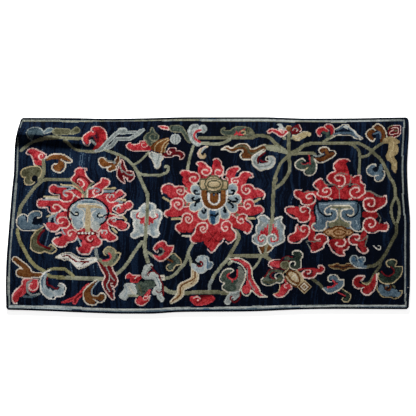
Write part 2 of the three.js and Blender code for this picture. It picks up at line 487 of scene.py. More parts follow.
def border() -> list[Layer]:
    """Gives the thin guard stripes inside the four sides."""
    return [
        line(Yarn.GUARD, 0.42, (-83, 41), (-83, 40), (-83.3, 37), (-84.3, 32.5), (-84, 28), (-84.1, 18),
             (-84.5, 5), (-85, -5), (-85.6, -15), (-85.7, -30), (-85.1, -38), (-84.9, -40)),
        line(Yarn.GUARD, 0.35, (85, 41.2), (85, 39.5), (84.4, 35.5), (83.9, 30), (83.7, 25), (83.5, 20),
             (83.3, 15), (83.3, 5), (83.7, -3), (83.4, -10), (83.2, -15), (82.8, -25), (82.6, -30),
             (82.5, -39)),
        line(Yarn.GUARD, 0.5, (-83, 41.1), (-70, 41.1), (-60, 40.8), (-45, 41.2), (-30, 41.3), (0, 41.4),
             (28, 41.3), (35, 41), (45, 41), (59, 40.8), (75, 41.2), (85, 41.2)),
        line(Yarn.ASH, 0.5, (-50, 41.4), (-45, 41.6), (-30, 41.7), (-12, 41.8), (-8, 41.7)),
        line(Yarn.REED, 0.2, (-83, 40.9), (-70, 40.9), (-60, 40.6), (-45, 41), (-30, 41.1), (-5, 41.3)),
        line(Yarn.WHITE, 0.42, (-4, 41.2), (10, 41.2), (28, 41.1), (35, 40.8), (45, 40.8, 0.34),
             (59, 40.6, 0.34), (75, 41, 0.3), (78, 41.1, 0.2)),
        line(Yarn.REED, 0.17, (-4, 40.9), (10, 40.9), (28, 40.8), (35, 40.5), (45, 40.5), (59, 40.3)),
        line(Yarn.SLATE, 0.4, (-84.8, -40.5), (-60, -40.5), (-50, -41.2), (-30, -41.6), (-15, -41),
             (0, -41.1), (10, -40.9), (30, -40.4), (45, -40.3), (82.4, -40.1)),
        line(Yarn.GUARD, 0.45, (-84.8, -40), (-60, -40), (-50, -40.8), (-40, -41.1), (-30, -41.1),
             (-15, -40.5), (0, -40.4), (10, -40.1), (30, -39.6), (45, -39.6), (60, -39.4), (82.4, -39.4)),
        line(Yarn.WHITE, 0.42, (-60, -40.1), (-50, -40.8), (-40, -41), (-30, -41), (-15, -40.5), (0, -40.5),
             (10, -40.2), (20, -40), (30, -39.7), (45, -39.6, 0.33), (60, -39.3, 0.33), (82.4, -39.3, 0.33)),
        line(Yarn.PALE, 0.55, (-84.8, -40.6), (-75, -40.5), (-66, -40.5), (-59, -40.6)),
        line(Yarn.PALE, 0.6, (-84.8, -39.8), (-75, -39.8), (-66, -39.9), (-62, -40)),
        line(Yarn.WHITE, 0.3, (-84.8, -39.8), (-75, -39.8), (-66, -39.9), (-62, -40)),
        line(Yarn.BLUE, 0.4, (-0.4, 41.9), (2.2, 41.9)),
        line(Yarn.BLUE, 0.35, (-2.8, -40.9), (-0.6, -40.9)),
        dots(Yarn.CREAM, (84.2, -31, 0.35), (84, -31.7, 0.25), (84.5, -32.2, 0.25)),
    ]


def left_vines() -> list[Layer]:
    """Gives the vines of the left third."""
    return [
        line(Yarn.OLIVE, 0.66, (-82.6, 27.6), (-80.6, 29.2), (-78, 31.3), (-74, 32.7), (-69, 33.2),
             (-65, 32.9), (-62, 32.6), (-56, 32.7)),
        # Painted light: the vine's left end is knotted in paler reed green to lift it where the fold's cast
        # shadow darkens it.
        line(Yarn.REED, 0.75, (-82.6, 27.7, 0.6), (-80.7, 29.3), (-78.7, 30.9, 0.6)),
        line(Yarn.OLIVE, 0.6, (-63.5, 32), (-62, 31), (-60, 29), (-58, 27.8), (-54, 27.3), (-50, 27.2),
             (-46.5, 28)),
        line(Yarn.OLIVE, 0.75, (-60.5, 14.8), (-70, 14.8), (-72.5, 14.5), (-74.5, 13), (-76.5, 10.8),
             (-78.5, 8), (-80.3, 5.3), (-81.7, 3), (-82.3, 0.5), (-82.4, -1)),
        line(Yarn.SAGE, 0.74, (-82.8, -7), (-82.7, -8.5), (-81.7, -12), (-79.6, -15.7), (-77.9, -18.8),
             (-76.2, -21), (-74.2, -22.9), (-72, -24.2), (-70.5, -24.9)),
        line(Yarn.SAGE, 0.72, (-69.2, -26.4), (-67.4, -27.2), (-65, -27.4), (-60, -27.7)),
        line(Yarn.REED, 0.8, (-61, -27.6), (-55, -27.8), (-50, -28), (-45.4, -28)),
        line(Yarn.SAGE, 0.64, (-69, -24.4), (-67.4, -23.9), (-64.8, -23.8), (-62.4, -23.9), (-61, -24.7),
             (-59.4, -25.9), (-58.4, -26.8)),
        line(Yarn.REED, 0.65, (-46, 28), (-44, 27.3), (-42, 26.5), (-40, 25.7), (-37.5, 24.5), (-35.8, 23.2),
             (-34.3, 21.8), (-33, 20.3), (-32, 18.5), (-30.7, 16, 0.7), (-29.5, 13.2, 0.75),
             (-28.3, 10.5, 0.75), (-27.3, 8.5)),
        line(Yarn.REED, 0.5, (-33, 21.5), (-31, 22.7), (-29.3, 24.3), (-28, 25.8), (-27, 26.7)),
        line(Yarn.REED, 0.6, (-32.5, 19), (-31, 17.7), (-29, 16.9), (-22, 16.7), (-20.5, 17.3), (-19, 18),
             (-18.3, 19.3), (-18.5, 20.5), (-19.6, 20.5)),
        line(Yarn.GUARD, 0.72, (-49.1, -14.9), (-48.8, -17.2), (-48.4, -19), (-47.2, -20.2)),
        line(Yarn.REED, 0.72, (-29.3, -12.3), (-31.7, -15.5), (-33.5, -18.3), (-35.2, -21.1), (-37.1, -23.5),
             (-38.9, -25.2), (-40.1, -26.2)),
        line(Yarn.REED, 0.85, (-28, -12), (-28.1, -14.9), (-27.6, -17.9), (-26.7, -20.8)),
        line(Yarn.REED, 0.6, (-27, -16.7), (-25.3, -17.6), (-24, -18.9)),
        line(Yarn.REED, 0.75, (-27.3, 9), (-27, 3), (-27.4, -3), (-27.5, -8), (-28.1, -13)),
    ]


def left_top_leaves() -> list[Layer]:
    """Gives the leaves over the left blossom."""
    return [
        # Painted shade: these two leaves on the fold's crest are knotted in the darker steel blue with
        # guard-grey rims, in place of slate and white, to dim them where the lamp lights the crest.
        shape(Yarn.STEEL, None,
              brush((-78, 34.8, 1.3), (-76, 35.7, 1.4), (-74, 35.2, 1.1), (-72.9, 34.4, 0.5)),
              brush((-77.8, 33.6, 0.8))),
        line(Yarn.GUARD, 0.26, (-77.9, 32.4), (-79.3, 33.6), (-79.7, 35.1), (-78.8, 36.5), (-77, 37.3),
             (-75, 37.2), (-73.5, 36.3), (-72.6, 35.1), (-72.4, 34.5)),
        shape(Yarn.STEEL, Yarn.GUARD, brush((-71.9, 35, 0.4), (-70.5, 36, 1), (-69.8, 36.3, 0.9))),
        shape(Yarn.MOSS, Yarn.OLIVE, band(1.5, (-67.2, 35.7), (-62.8, 35.8)),
              brush((-60.5, 35.5, 1), (-58.6, 36.7, 1.3))),
        shape(Yarn.ROSE, None, brush((-78.5, 27.3, 1), (-76.5, 26.5, 1.7), (-74, 25.5, 1.8)),
              brush((-76, 25, 1.6), (-75, 22.8, 1.6), (-74, 21.8, 0.8))),
        line(Yarn.WINE, 0.35, (-76.6, 23.9), (-75.3, 23.4)),
        line(Yarn.PINK, 0.28, (-79.5, 26), (-80.2, 26.3), (-80.1, 27.3), (-79.2, 28.3), (-77.5, 28.6),
             (-76, 28.2), (-74.3, 27.3), (-72.5, 26.5), (-71.5, 25.5), (-72, 24.2), (-73, 23.5),
             (-74.3, 23.9), (-74.8, 25), (-74.2, 26), (-73.3, 25.9), (-73.2, 25.3)),
        line(Yarn.PINK, 0.28, (-79.7, 25.9), (-78.3, 25.5), (-77.3, 23.7), (-76.8, 21.8), (-76, 21)),
        shape(Yarn.CHESTNUT, None,
              brush((-71.2, 23.5, 0.5), (-69.5, 24.6, 0.9), (-67, 24.9, 1), (-64.5, 24.7, 1),
                    (-62.5, 23.9, 0.8), (-61.2, 23.2, 0.5)), brush((-65.3, 23.2, 0.9), (-64.9, 21, 1.4)),
              brush((-66.4, 20.1, 1.9))),
        line(Yarn.CREAM, 0.31, (-71.5, 24.3), (-70.3, 25.3), (-68.7, 26), (-66, 26.1), (-64, 25.8),
             (-62.3, 24.8), (-60.7, 23.7), (-60.3, 22.5), (-62.5, 22.4), (-63.7, 22.8), (-65, 23.6)),
        line(Yarn.CREAM, 0.31, (-63.2, 22.3), (-63, 20.8), (-63.7, 19), (-65.3, 17.9), (-67.2, 18.3),
             (-68.8, 19.5), (-68.9, 20.8), (-67.8, 21.7), (-66.8, 21.8)),
        line(Yarn.OLIVE, 0.75, (-72.6, 23.3), (-72.6, 17), (-74.5, 14.5)),
        shape(Yarn.MOSS, Yarn.TAN,
              brush((-80.3, 17.7, 2), (-77.5, 18.2, 2.3), (-75.3, 18.7, 1.8), (-75.3, 17, 1.5)),
              brush((-79, 15.8, 1.2), (-79.2, 14, 1.4), (-78, 13.4, 0.8), (-76.9, 13.6, 0.4))),
        dots(Yarn.NAVY, (-76.2, 15.3, 1.4)),
        # Painted shade: this leaf on the fold's far slope is knotted in the darker madder red to dim it where
        # the lamp lights that slope.
        shape(Yarn.MADDER, None,
              brush((-51.2, 37.3, 0.7), (-49.3, 36.9, 1.3), (-47.7, 35.2, 1.9), (-47.5, 32.8, 1.9),
                    (-48.7, 30.3, 1.3), (-50.8, 28.2, 0.5)),
              brush((-51, 35.3, 0.9), (-52.5, 35.1, 1), (-54, 33.8, 1.4), (-54.2, 32, 1.1),
                    (-53.7, 30.9, 0.7))),
        dots(Yarn.NAVY, (-52, 32.7, 0.9), (-51, 31.8, 0.8)),
        line(Yarn.WINE, 0.42, (-53.3, 32.3), (-52.9, 33.6), (-51.5, 34.1), (-50.4, 33.1), (-49.9, 31.5)),
        line(Yarn.WINE, 0.42, (-49.6, 35.4), (-49.1, 33.5), (-49.2, 31.5)),
        line(Yarn.GUARD, 0.5, (-52.2, 32), (-50.3, 30.5)),
        line(Yarn.PINK, 0.23, (-51.3, 35.6), (-52.2, 36.9), (-51.9, 38), (-50.5, 38.4), (-48.5, 38.4),
             (-46.7, 37.2), (-45.6, 35.5), (-45.2, 33.2), (-45.6, 31.3), (-46.8, 29.5), (-48.3, 28.3)),
        line(Yarn.PINK, 0.23, (-52.3, 36.4), (-53.7, 35.7), (-55, 34.6), (-55.9, 33), (-55.5, 31.3),
             (-54.3, 30), (-53.2, 30), (-52.5, 31), (-52.7, 32)),
        shape(Yarn.GUARD, Yarn.WHITE,
              band(0.6, (-50, 27.4, 0.3), (-47.5, 28.5, 0.7), (-45.8, 30.6), (-44, 32.5), (-42.7, 33.9),
                   (-41, 35.4), (-40, 36)), band(1.15, (-39.3, 36.3), (-37.7, 36.3)),
              band(0.45, (-37, 35.7), (-33, 35.8))),
        shape(Yarn.GUARD, Yarn.WHITE,
              band(0.6, (-45, 28.9, 0.6), (-43, 30), (-41.8, 31.6), (-40.7, 32.7), (-36, 32.8),
                   (-34.4, 33.4), (-32.5, 34.6), (-31, 35.9, 0.8), (-29.4, 36.9, 0.4))),
        shape(Yarn.CHESTNUT, Yarn.CREAM,
              brush((-47.2, 23, 1.5), (-46.4, 21.8, 1.6), (-44.5, 21.4, 1.1), (-42.5, 21.3, 1.2),
                    (-41, 22.3, 1.1), (-40.2, 24.3, 0.6)), brush((-43.7, 19.4, 1.1), (-41.8, 20, 0.9))),
        line(Yarn.CREAM, 0.25, (-44.8, 20), (-43.3, 20.8)),
        line(Yarn.ASH, 0.33, (-45.5, 24), (-45, 23.1), (-43, 22.8), (-41.6, 22.8)),
        dots(Yarn.GUARD, (-41.8, 22.3, 0.7)),
        line(Yarn.BROWN, 0.7, (-40.1, 25, 0.5), (-40.4, 23)),
        shape(Yarn.WINE, Yarn.PINK,
              brush((-38.6, 23.3, 0.3), (-38.3, 21.5, 0.8), (-39.3, 18.5, 1.2), (-39, 16, 1.2),
                    (-37.3, 13.4, 0.3)),
              brush((-38, 20.5, 0.9), (-37, 17.4, 1.3), (-34.5, 16.5, 1.4), (-35, 15, 1)),
              brush((-36.7, 18.3, 0.5), (-33.9, 17.9, 0.4))),
        line(Yarn.GUARD, 0.23, (-39.4, 21.7, 0.4), (-39, 19.5), (-38.3, 17.8)),
        line(Yarn.GUARD, 0.24, (-38.6, 19), (-37, 17.9), (-35.6, 16.9), (-33.8, 16.8)),
    ]


def left_bottom_leaves() -> list[Layer]:
    """Gives the leaves beside and under the left blossom."""
    return [
        shape(Yarn.SLATE, None,
              brush((-81, -2.5, 1.6), (-80.7, -4.7, 1.8), (-78.5, -5.2, 1.6), (-76, -5.9, 1),
                    (-74, -5.7, 0.9), (-72.5, -5.4, 0.5)),
              brush((-77.5, -3.3, 1), (-77, -1.2, 1.1), (-75.3, -0.3, 1), (-73.8, -0.5, 0.8))),
        dots(Yarn.NAVY, (-74.8, -3.3, 1.3), (-73.3, -3.2, 1)),
        line(Yarn.CREAM, 0.26, (-82.5, -5.9), (-83.2, -5), (-83.3, -3), (-83, -1.7), (-82, -0.8),
             (-80.8, -0.3), (-79.7, -0.5), (-78.7, -1.5), (-78.7, -3.7)),
        line(Yarn.CREAM, 0.26, (-78.5, -1), (-77.7, 0), (-76.5, 0.8), (-75, 1.1), (-73.5, 0.8),
             (-72.7, -0.2), (-73, -1.5), (-74.5, -2)),
        line(Yarn.CREAM, 0.24, (-82.5, -6), (-81.5, -7), (-80, -7.5), (-77, -7.4), (-74.8, -7.4)),
        shape(Yarn.MOSS, None,
              brush((-72.5, -7, 0.5), (-74.5, -9, 1.2), (-75.5, -11.5, 1.2), (-75.3, -14, 1.5),
                    (-73.3, -15.3, 1.3), (-71, -15.7, 0.9), (-68.7, -15.7, 1), (-67.3, -14.8, 0.7))),
        line(Yarn.WINE, 0.5, (-71.5, -7.3), (-73, -9), (-73.9, -11), (-73.7, -12.8), (-72, -14),
             (-70.5, -14.6), (-68.7, -15.2)),
        line(Yarn.TAN, 0.26, (-71.5, -5.6), (-73, -6.5), (-75, -7.8), (-76, -9.3), (-76.8, -10.7),
             (-77, -13), (-76.7, -15.3), (-75, -16.5), (-72.7, -17, 0.34), (-70.8, -16.5, 0.34),
             (-68, -17.3), (-66.3, -16.3), (-66, -15.3), (-68, -13.5), (-69, -14)),
        shape(Yarn.BROWN, Yarn.CREAM,
              brush((-83.4, -19.8, 1.1), (-81.3, -21.4, 1.2), (-79.2, -22.9, 1.2), (-77.9, -24.6, 1.5)),
              brush((-81, -25.5, 1.7), (-78, -26, 1.7), (-75, -26.4, 1), (-72.2, -26.4, 0.9)),
              brush((-80, -25, 1.1))),
        shape(Yarn.ROSE, None,
              brush((-82.6, -36.9, 1.2), (-82.1, -34.7, 1.6), (-80, -33.2, 1.9), (-78.8, -31, 1.2),
                    (-78.3, -29.3, 1.2), (-76.5, -29, 0.8), (-74, -28.8, 0.6)), brush((-75.3, -31.3, 2.4)),
              brush((-79.3, -34, 0.8))),
        line(Yarn.GARNET, 0.85, (-82.6, -37), (-82, -35.2), (-80.7, -34.3)),
        shape(Yarn.GUARD, None,
              band(0.5, (-76.2, -28.9), (-77.7, -29.9), (-77.9, -31.5), (-77.7, -33), (-76.7, -34.3),
                   (-75.4, -34.9), (-73.6, -34.8), (-72.6, -34.3))),
        line(Yarn.STEEL, 0.45, (-79.3, -35.5), (-76.5, -35.7), (-74, -35.2)),
        line(Yarn.PINK, 0.28, (-81.8, -38.4), (-82.6, -38.5), (-83.4, -38), (-84, -36.7), (-83.9, -35),
             (-83.3, -33.6), (-82.3, -32.5), (-81.1, -31.4), (-80.1, -30.4), (-80, -29), (-79.2, -28.1),
             (-77.5, -28.1), (-73, -28.2)),
        line(Yarn.PINK, 0.27, (-73.3, -28.9), (-73.2, -30.7), (-73.7, -32.1), (-75, -32.9), (-76.4, -32.6),
             (-77.1, -31.4), (-76.6, -30.2), (-75.8, -30.1)),
        shape(Yarn.PALE, None,
              brush((-70.3, -26.3, 0.8), (-71, -28, 1), (-71, -30.8, 1.1), (-70.1, -32.9, 1.4),
                    (-68.3, -34.7, 1.5), (-66.2, -34, 1.1), (-64, -33.9, 1.3), (-63, -32.2, 1.1),
                    (-63.1, -31, 0.7)), brush((-68.2, -33.1, 1))),
        line(Yarn.SLATE, 0.5, (-71.1, -26.7), (-71.6, -29), (-71.4, -31.4)),
        line(Yarn.WINE, 0.32, (-69.5, -27.4), (-69.5, -29.5), (-68.9, -30.7), (-67.7, -31), (-66.5, -31.9),
             (-65.5, -32.4), (-64.8, -32.1), (-64.5, -31.5)),
        line(Yarn.IVORY, 0.32, (-68.3, -24.2), (-69.5, -24.9), (-70.6, -25.4), (-71.7, -26.9),
             (-72.3, -28.3), (-72.3, -30.1), (-72.1, -32), (-71.9, -33.3), (-70.9, -34.5), (-69.5, -35.7),
             (-68.1, -36.4), (-66.2, -36.6), (-65.6, -35.7), (-63.6, -35.5), (-62.1, -34.9), (-61.9, -33.8),
             (-61.4, -32), (-62, -31), (-63, -30.1), (-64.2, -30.2), (-64.4, -31)),
        line(Yarn.WHITE, 0.4, (-62.6, -31.4), (-64, -31)),
        line(Yarn.WHITE, 0.25, (-67.8, -33), (-66.4, -34), (-65.9, -35.2)),
        shape(Yarn.IVORY, None,
              brush((-65, -18.8, 0.5), (-62.5, -18.5, 0.9), (-60.3, -18.4, 1.1), (-58.5, -19.7, 1.3),
                    (-56.4, -21.4, 1.75), (-54.5, -21.6, 1.4), (-52, -20.6, 1.2), (-49, -20, 0.8))),
        line(Yarn.WHITE, 0.32, (-57, -21.8), (-54.5, -21), (-50, -20)),
        line(Yarn.WINE, 0.26, (-63.1, -18.6), (-62.2, -18.3), (-60.9, -18.1), (-60, -18.8), (-58.9, -19.7),
             (-57.4, -20.7), (-54.8, -20.8), (-52, -20.8)),
        line(Yarn.WINE, 0.34, (-60, -18.9), (-58, -20.2)),
        line(Yarn.WINE, 0.2, (-53.4, -21.2), (-54.8, -21.9)),
        line(Yarn.CREAM, 0.24, (-66, -18.9), (-64.2, -17.8), (-62.3, -17.1), (-60.3, -16.9), (-58.8, -17.4),
             (-57.2, -18.6), (-55.6, -19.1), (-53, -19.3), (-50, -19.1), (-48.9, -19)),
        line(Yarn.CREAM, 0.24, (-65.9, -19), (-64.8, -19.4), (-63.5, -19.6), (-62.5, -20.2), (-61.3, -19.9),
             (-60.4, -20), (-59.1, -21.1), (-57.8, -22.4), (-56.4, -23.7), (-55, -23.6), (-53.4, -23),
             (-51.3, -21.8), (-49.7, -20.9), (-48.6, -20.8)),
        shape(Yarn.OLIVE, None,
              brush((-44.2, -16.3, 1.3), (-42.5, -16.6, 1.5), (-40.8, -18.3, 1.3), (-40.7, -19.6, 1.4),
                    (-42.5, -21, 1.7), (-45.3, -21.3, 1.1), (-47, -20.3, 0.9))),
        line(Yarn.BOTTLE, 0.45, (-40, -18), (-40.3, -19.3), (-41.3, -20.6)),
        dots(Yarn.NAVY, (-46.5, -18.3, 0.8), (-45.4, -18.8, 0.85), (-44.3, -18.7, 0.7)),
        line(Yarn.ROSE, 0.42, (-45.7, -20.3), (-44.1, -20.2), (-42.9, -19.5), (-42.6, -18.2),
             (-43.4, -17.2)),
        line(Yarn.TAN, 0.26, (-44.7, -18.1), (-45.6, -17.2), (-45.6, -16.1), (-44.7, -14.9), (-43.4, -14.4),
             (-41.9, -14.9), (-40.7, -15.8), (-40.5, -16.9), (-38.6, -17.1), (-38.8, -18.7), (-39.4, -20),
             (-40.6, -21.4), (-41.9, -22.5), (-43.4, -22.8), (-45.4, -22.5)),
        shape(Yarn.WINE, None,
              brush((-47.3, -21.4, 0.5), (-45.8, -23.5, 0.9), (-44.2, -26, 1.1), (-44, -29, 1.5),
                    (-43.4, -32, 1.4), (-42.2, -34.8, 0.9), (-41.6, -36.2, 0.4)),
              brush((-43.3, -23.4, 0.9), (-41.9, -26.3, 1.2), (-41, -28.8, 1.3), (-41, -30.4, 0.8))),
        line(Yarn.GUARD, 0.23, (-44.5, -23.1), (-43.6, -24.7), (-42.8, -26.4), (-41.9, -27.8), (-41, -28.7)),
        line(Yarn.WHITE, 0.22, (-42.9, -26.8), (-43.2, -28.9), (-43.9, -30.2), (-43.8, -31.6),
             (-42.8, -33.3)),
        line(Yarn.PINK, 0.26, (-48.2, -20.7), (-47.5, -22.2), (-46.6, -24), (-45.4, -25.8), (-44.9, -27),
             (-45.3, -28.3), (-45.9, -29.6), (-45.6, -31.4), (-44.7, -33.1), (-43.5, -34.7), (-42.2, -36.4),
             (-41.2, -36.9), (-40.7, -36.1), (-41, -34.2), (-40.7, -33), (-41.4, -32.1), (-40.4, -31.4),
             (-39.7, -30.4), (-39.4, -28.7), (-40.1, -26.6), (-41.3, -24.8), (-42, -23)),
        line(Yarn.PINK, 0.22, (-41.2, -31.2), (-42.2, -31), (-42.4, -30.2), (-41.7, -29.8)),
        shape(Yarn.MADDER, Yarn.ROSE,
              brush((-51.9, -30.6, 0.4), (-53.3, -32.2, 0.7), (-54.6, -34, 0.7), (-56.3, -35.6, 0.7),
                    (-58, -36.4, 0.5), (-60.3, -37.3, 0.45), (-62.8, -38.1, 0.1)),
              band(0.6, (-57, -36.8, 0.8), (-57.5, -37.9))),
        line(Yarn.WINE, 0.42, (-55.5, -35), (-57.1, -36.5), (-57.4, -37.8, 0.5)),
        line(Yarn.WINE, 0.22, (-58.3, -36.6), (-60.3, -37.3)),
        line(Yarn.WINE, 0.22, (-52.5, -31.5), (-54.5, -34), (-56.5, -36)),
        shape(Yarn.BROWN, None,
              brush((-48.7, -29.2, 0.3), (-50.3, -30.7, 0.7), (-51.8, -33, 1.3), (-52.2, -35.3, 1.7),
                    (-51.2, -37.2, 1.6), (-49.6, -38, 0.9)),
              brush((-50, -36, 0.7), (-48, -36, 0.8), (-46.3, -36, 1.4))),
        line(Yarn.CREAM, 0.26, (-48.4, -28.5), (-49.5, -29.2), (-51.3, -30.5), (-52.6, -31.7),
             (-53.8, -33.4), (-53.9, -35.5), (-53.4, -37.2), (-52.2, -38.6), (-50.4, -39.1), (-48.6, -39),
             (-47.9, -38), (-46.3, -38), (-44.9, -37.1), (-44.4, -35.6), (-45.1, -34.4), (-46.3, -34.1),
             (-47.3, -34.6), (-47.9, -35.2), (-49.2, -35.2), (-50.4, -34.6)),
        line(Yarn.PALE, 0.28, (-50.4, -34.6), (-50.4, -33.1), (-49.7, -31.6), (-48.7, -30.3), (-47.7, -29)),
        line(Yarn.CREAM, 0.22, (-49.7, -36.5), (-47.9, -37.7)),
    ]


def left_blossom() -> list[Layer]:
    """Gives the left blossom: petals, the lines and balls in them, and the domed heart."""
    rays = [
        line(Yarn.PALE, 0.5, (-72.9, 5.8), (-65.7, 5.8)),
        line(Yarn.TAN, 0.4, (-71.8, 7.3), (-65.7, 7.1)),
        line(Yarn.CREAM, 0.35, (-71, 6.6), (-65.6, 6.4)),
        line(Yarn.TAN, 0.4, (-70.3, -1.4), (-67, -0.3)),
        line(Yarn.PALE, 0.6, (-67.9, -1.1), (-69.1, -2.2), (-69.4, -4.1)),
        line(Yarn.TAN, 0.4, (-46, 10.8), (-41.3, 11)),
        line(Yarn.PALE, 0.55, (-46, 9.7), (-42, 9.6)),
        line(Yarn.PINK, 0.4, (-66.2, -8.9), (-64.2, -8.2)),
        line(Yarn.PALE, 0.42, (-40.2, 5.3), (-38.2, 4.8)),
        line(Yarn.PINK, 0.35, (-40, -1.9), (-37.8, -2.1)),
        line(Yarn.TAN, 0.45, (-40, 6), (-36.8, 5.8)),
        line(Yarn.TAN, 0.5, (-42, -6.5), (-40.3, -8.3)),
    ]
    bodies = shape(
        Yarn.ROSE, None,
        band(2.2, (-60, -2), (-59.5, 3), (-55, 6.5), (-49, 6.5), (-45, 3), (-45, -3), (-49, -8), (-56, -8.5),
             (-60, -2)), brush((-68, 10.5, 1.6), (-64, 9.8, 1.6), (-62, 7.8, 2.6)),
        brush((-59.5, 9.8, 0.8), (-57.5, 9, 1), (-56, 7.5, 0.8)),
        brush((-73.5, 4.3, 1.5), (-68, 4.4, 1.2), (-61, 4.3, 1.2), (-59.5, 4.8, 0.6)),
        brush((-67, 2.3, 2.1)), brush((-69.5, -5, 1.2), (-67, -6, 1.8), (-64.5, -5, 1.5)),
        brush((-63.8, -3.6, 2.7)), brush((-66, -1.2, 1), (-62.8, -0.3, 1.1)),
        brush((-66.3, -11.8, 1.3), (-64, -12.3, 1.9), (-62, -11, 2)), brush((-60, -9.3, 2.7)),
        brush((-62.5, -8, 1.5), (-60.5, -5.5, 1.2), (-60, -4, 0.6)), brush((-59.4, 15, 1)),
        brush((-56.8, 18.8, 1.6), (-56.3, 16, 2.6), (-55.8, 13.3, 3), (-54.8, 11, 1.2), (-54.6, 10.3, 0.5)),
        band(1.2, (-63, 3.2), (-62, 1.5)), brush((-43.3, 2.2, 1)),
        brush((-45.9, 13.7, 1.9), (-47.2, 12.4, 2), (-49.5, 10.5, 2), (-51.5, 8.8, 1.7), (-52, 7.3, 1)),
        brush((-39, 8.9, 1.4), (-41, 8, 1.5), (-42.8, 6.8, 1.8)),
        brush((-47.5, 6.8, 0.9), (-45.5, 7.6, 1.1), (-44, 8.3, 0.6)),
        brush((-35.3, 3.4, 1.5), (-37, 3.2, 1.4), (-39, 1.8, 1.8)),
        brush((-44.3, 4.3, 1.1), (-42, 3.7, 1.3), (-40, 4.3, 0.6)),
        brush((-43.3, -0.8, 0.8), (-40, -1.2, 0.6)),
        brush((-43, -3, 1.3), (-41, -4.2, 1.4), (-37.7, -5.2, 1.9)),
        brush((-45.3, -3.7, 0.6), (-45.5, -5.5, 1.5), (-45, -7.5, 1.6), (-45, -9.3, 2), (-42, -10.4, 1.5)),
        brush((-51.5, -11.5, 3), (-52.3, -13.5, 3), (-54, -15.5, 1.8), (-56.3, -15.3, 0.6)),
        brush((-48.5, -12.3, 1.8), (-56, -10, 1)))
    edges = lines(
        Yarn.PINK, 0.29,
        ((-66.4, 12.1), (-67.9, 12.6), (-69.5, 11.7), (-69.8, 10.1), (-69.1, 8.9), (-67.7, 8.1), (-65.6, 8),
         (-65.3, 6.4), (-63.8, 5.3), (-61.8, 5.1), (-60.2, 5.6), (-59.3, 7), (-59.3, 8.4), (-60.2, 9.4),
         (-62.1, 9.6), (-63.4, 9.5), (-63.5, 8.4), (-62.4, 7.4), (-61.7, 8)),
        ((-60.4, 9.4), (-58.8, 8.1), (-56.6, 6.7)),
        ((-72.8, 6.3), (-74.3, 5.8), (-74.9, 4.5), (-74.6, 3.1), (-72.9, 2.4), (-70.4, 2.6), (-70, 1.3),
         (-68.8, 0.2), (-66.6, 0.2), (-64.9, 0.9), (-64.1, 2.1), (-64.9, 3.1), (-66, 3.8), (-67.4, 3.7),
         (-67.9, 2.6), (-67.1, 2.1)),
        ((-71.8, -4.5), (-70.9, -5.1), (-70.2, -6.6), (-68.8, -7.7), (-66.8, -8), (-65.4, -7.2),
         (-64.6, -6.3), (-62.1, -6.3), (-60.9, -5.5), (-60.6, -3.8), (-61.6, -2.2), (-63.5, -1.6),
         (-65, -1.9), (-65.7, -3), (-65.3, -4.1), (-64.1, -4.4), (-63.5, -3.8)),
        ((-65.2, -10.2), (-66.8, -10.8), (-67.7, -11.9), (-66.8, -13.4), (-64.9, -14.4), (-62.7, -14.4),
         (-61.6, -13.8), (-61.3, -12.6), (-59.6, -12.4), (-57.9, -11.6), (-57.1, -9.9), (-57.5, -8),
         (-59.3, -7.2), (-60.9, -7.7), (-61, -8.8), (-60.3, -9.8), (-59.6, -8.8)),
        ((-53.8, 18.9), (-54.1, 19.6), (-55.7, 19.9), (-57.7, 19.8), (-58.9, 18.7), (-58.8, 17.3),
         (-60.2, 15.6), (-60.4, 14.5), (-59.9, 13.7)),
        ((-54.6, 18.9), (-54.1, 17), (-52.9, 15.3), (-51.8, 14.2), (-50.9, 13.7)),
        ((-56, 11.2), (-54.9, 12.2), (-55, 13.5), (-56, 14.5), (-57.1, 14.9), (-58, 14.2), (-57.4, 13.3),
         (-56.7, 13)),
        ((-51, 11.7), (-49.3, 12.8), (-47.7, 13.8), (-47.4, 15.2), (-46.3, 15.5), (-44.3, 14.8),
         (-43.6, 13.7), (-44.1, 12.3), (-45.7, 11.2), (-46.6, 10.1), (-46.8, 8.7), (-48.5, 8.1),
         (-49.9, 7.4), (-51.3, 6.7)),
        ((-50.2, 10.2), (-50.9, 9.2), (-50.2, 8.2)),
        ((-41, 8.9), (-39.6, 10.2), (-38.8, 10.2), (-37.7, 9.2), (-36.7, 8.4), (-37.4, 7.3), (-39.1, 6.4),
         (-40.4, 5.9), (-41.3, 5.1), (-43.2, 4.8), (-44.3, 5.6), (-44.9, 6.7), (-44.6, 7.8), (-43.8, 8.4)),
        ((-36.8, 4.2), (-36, 5.1), (-34.6, 5.2), (-33.5, 4.2), (-33.8, 2.8), (-34.9, 1.7), (-36.3, 1.2),
         (-36.8, 0.1), (-38.5, -0.6), (-40.2, 0.1), (-41.3, 0.9), (-42.1, 1.3), (-42.1, 2.3), (-40.7, 3.4),
         (-39.1, 3.9), (-38.2, 3.9)),
        ((-36.6, -3.8), (-35.3, -4.4), (-34.9, -5.5), (-36, -6.9), (-37.7, -7.4), (-39.3, -7.2),
         (-40.4, -6.1), (-42.9, -5.2), (-44.3, -4.1), (-44.1, -2.7), (-42.7, -1.9), (-40.4, -1.6)),
        ((-43.8, -5.8), (-43.5, -6.9), (-42.4, -8.3), (-40.4, -9.7), (-39.9, -10.8), (-41.3, -11.9),
         (-43.5, -12.2), (-44.9, -11.3), (-46.3, -11.3), (-47.4, -11.1), (-47.9, -9.9), (-47.9, -8.3),
         (-46.8, -7.2)),
        ((-57.2, -14.7), (-56.8, -16.1), (-55.4, -17.4), (-52.1, -17.7), (-51, -16.1), (-50.7, -14.7),
         (-48.2, -14.4), (-46.8, -13.3), (-46.6, -11.9), (-47.9, -10.5), (-48.8, -9.1)),
        ((-51.8, -9.7), (-52.7, -10.5), (-52.1, -11.6), (-51, -11.9), (-50.4, -11.1)),
    )
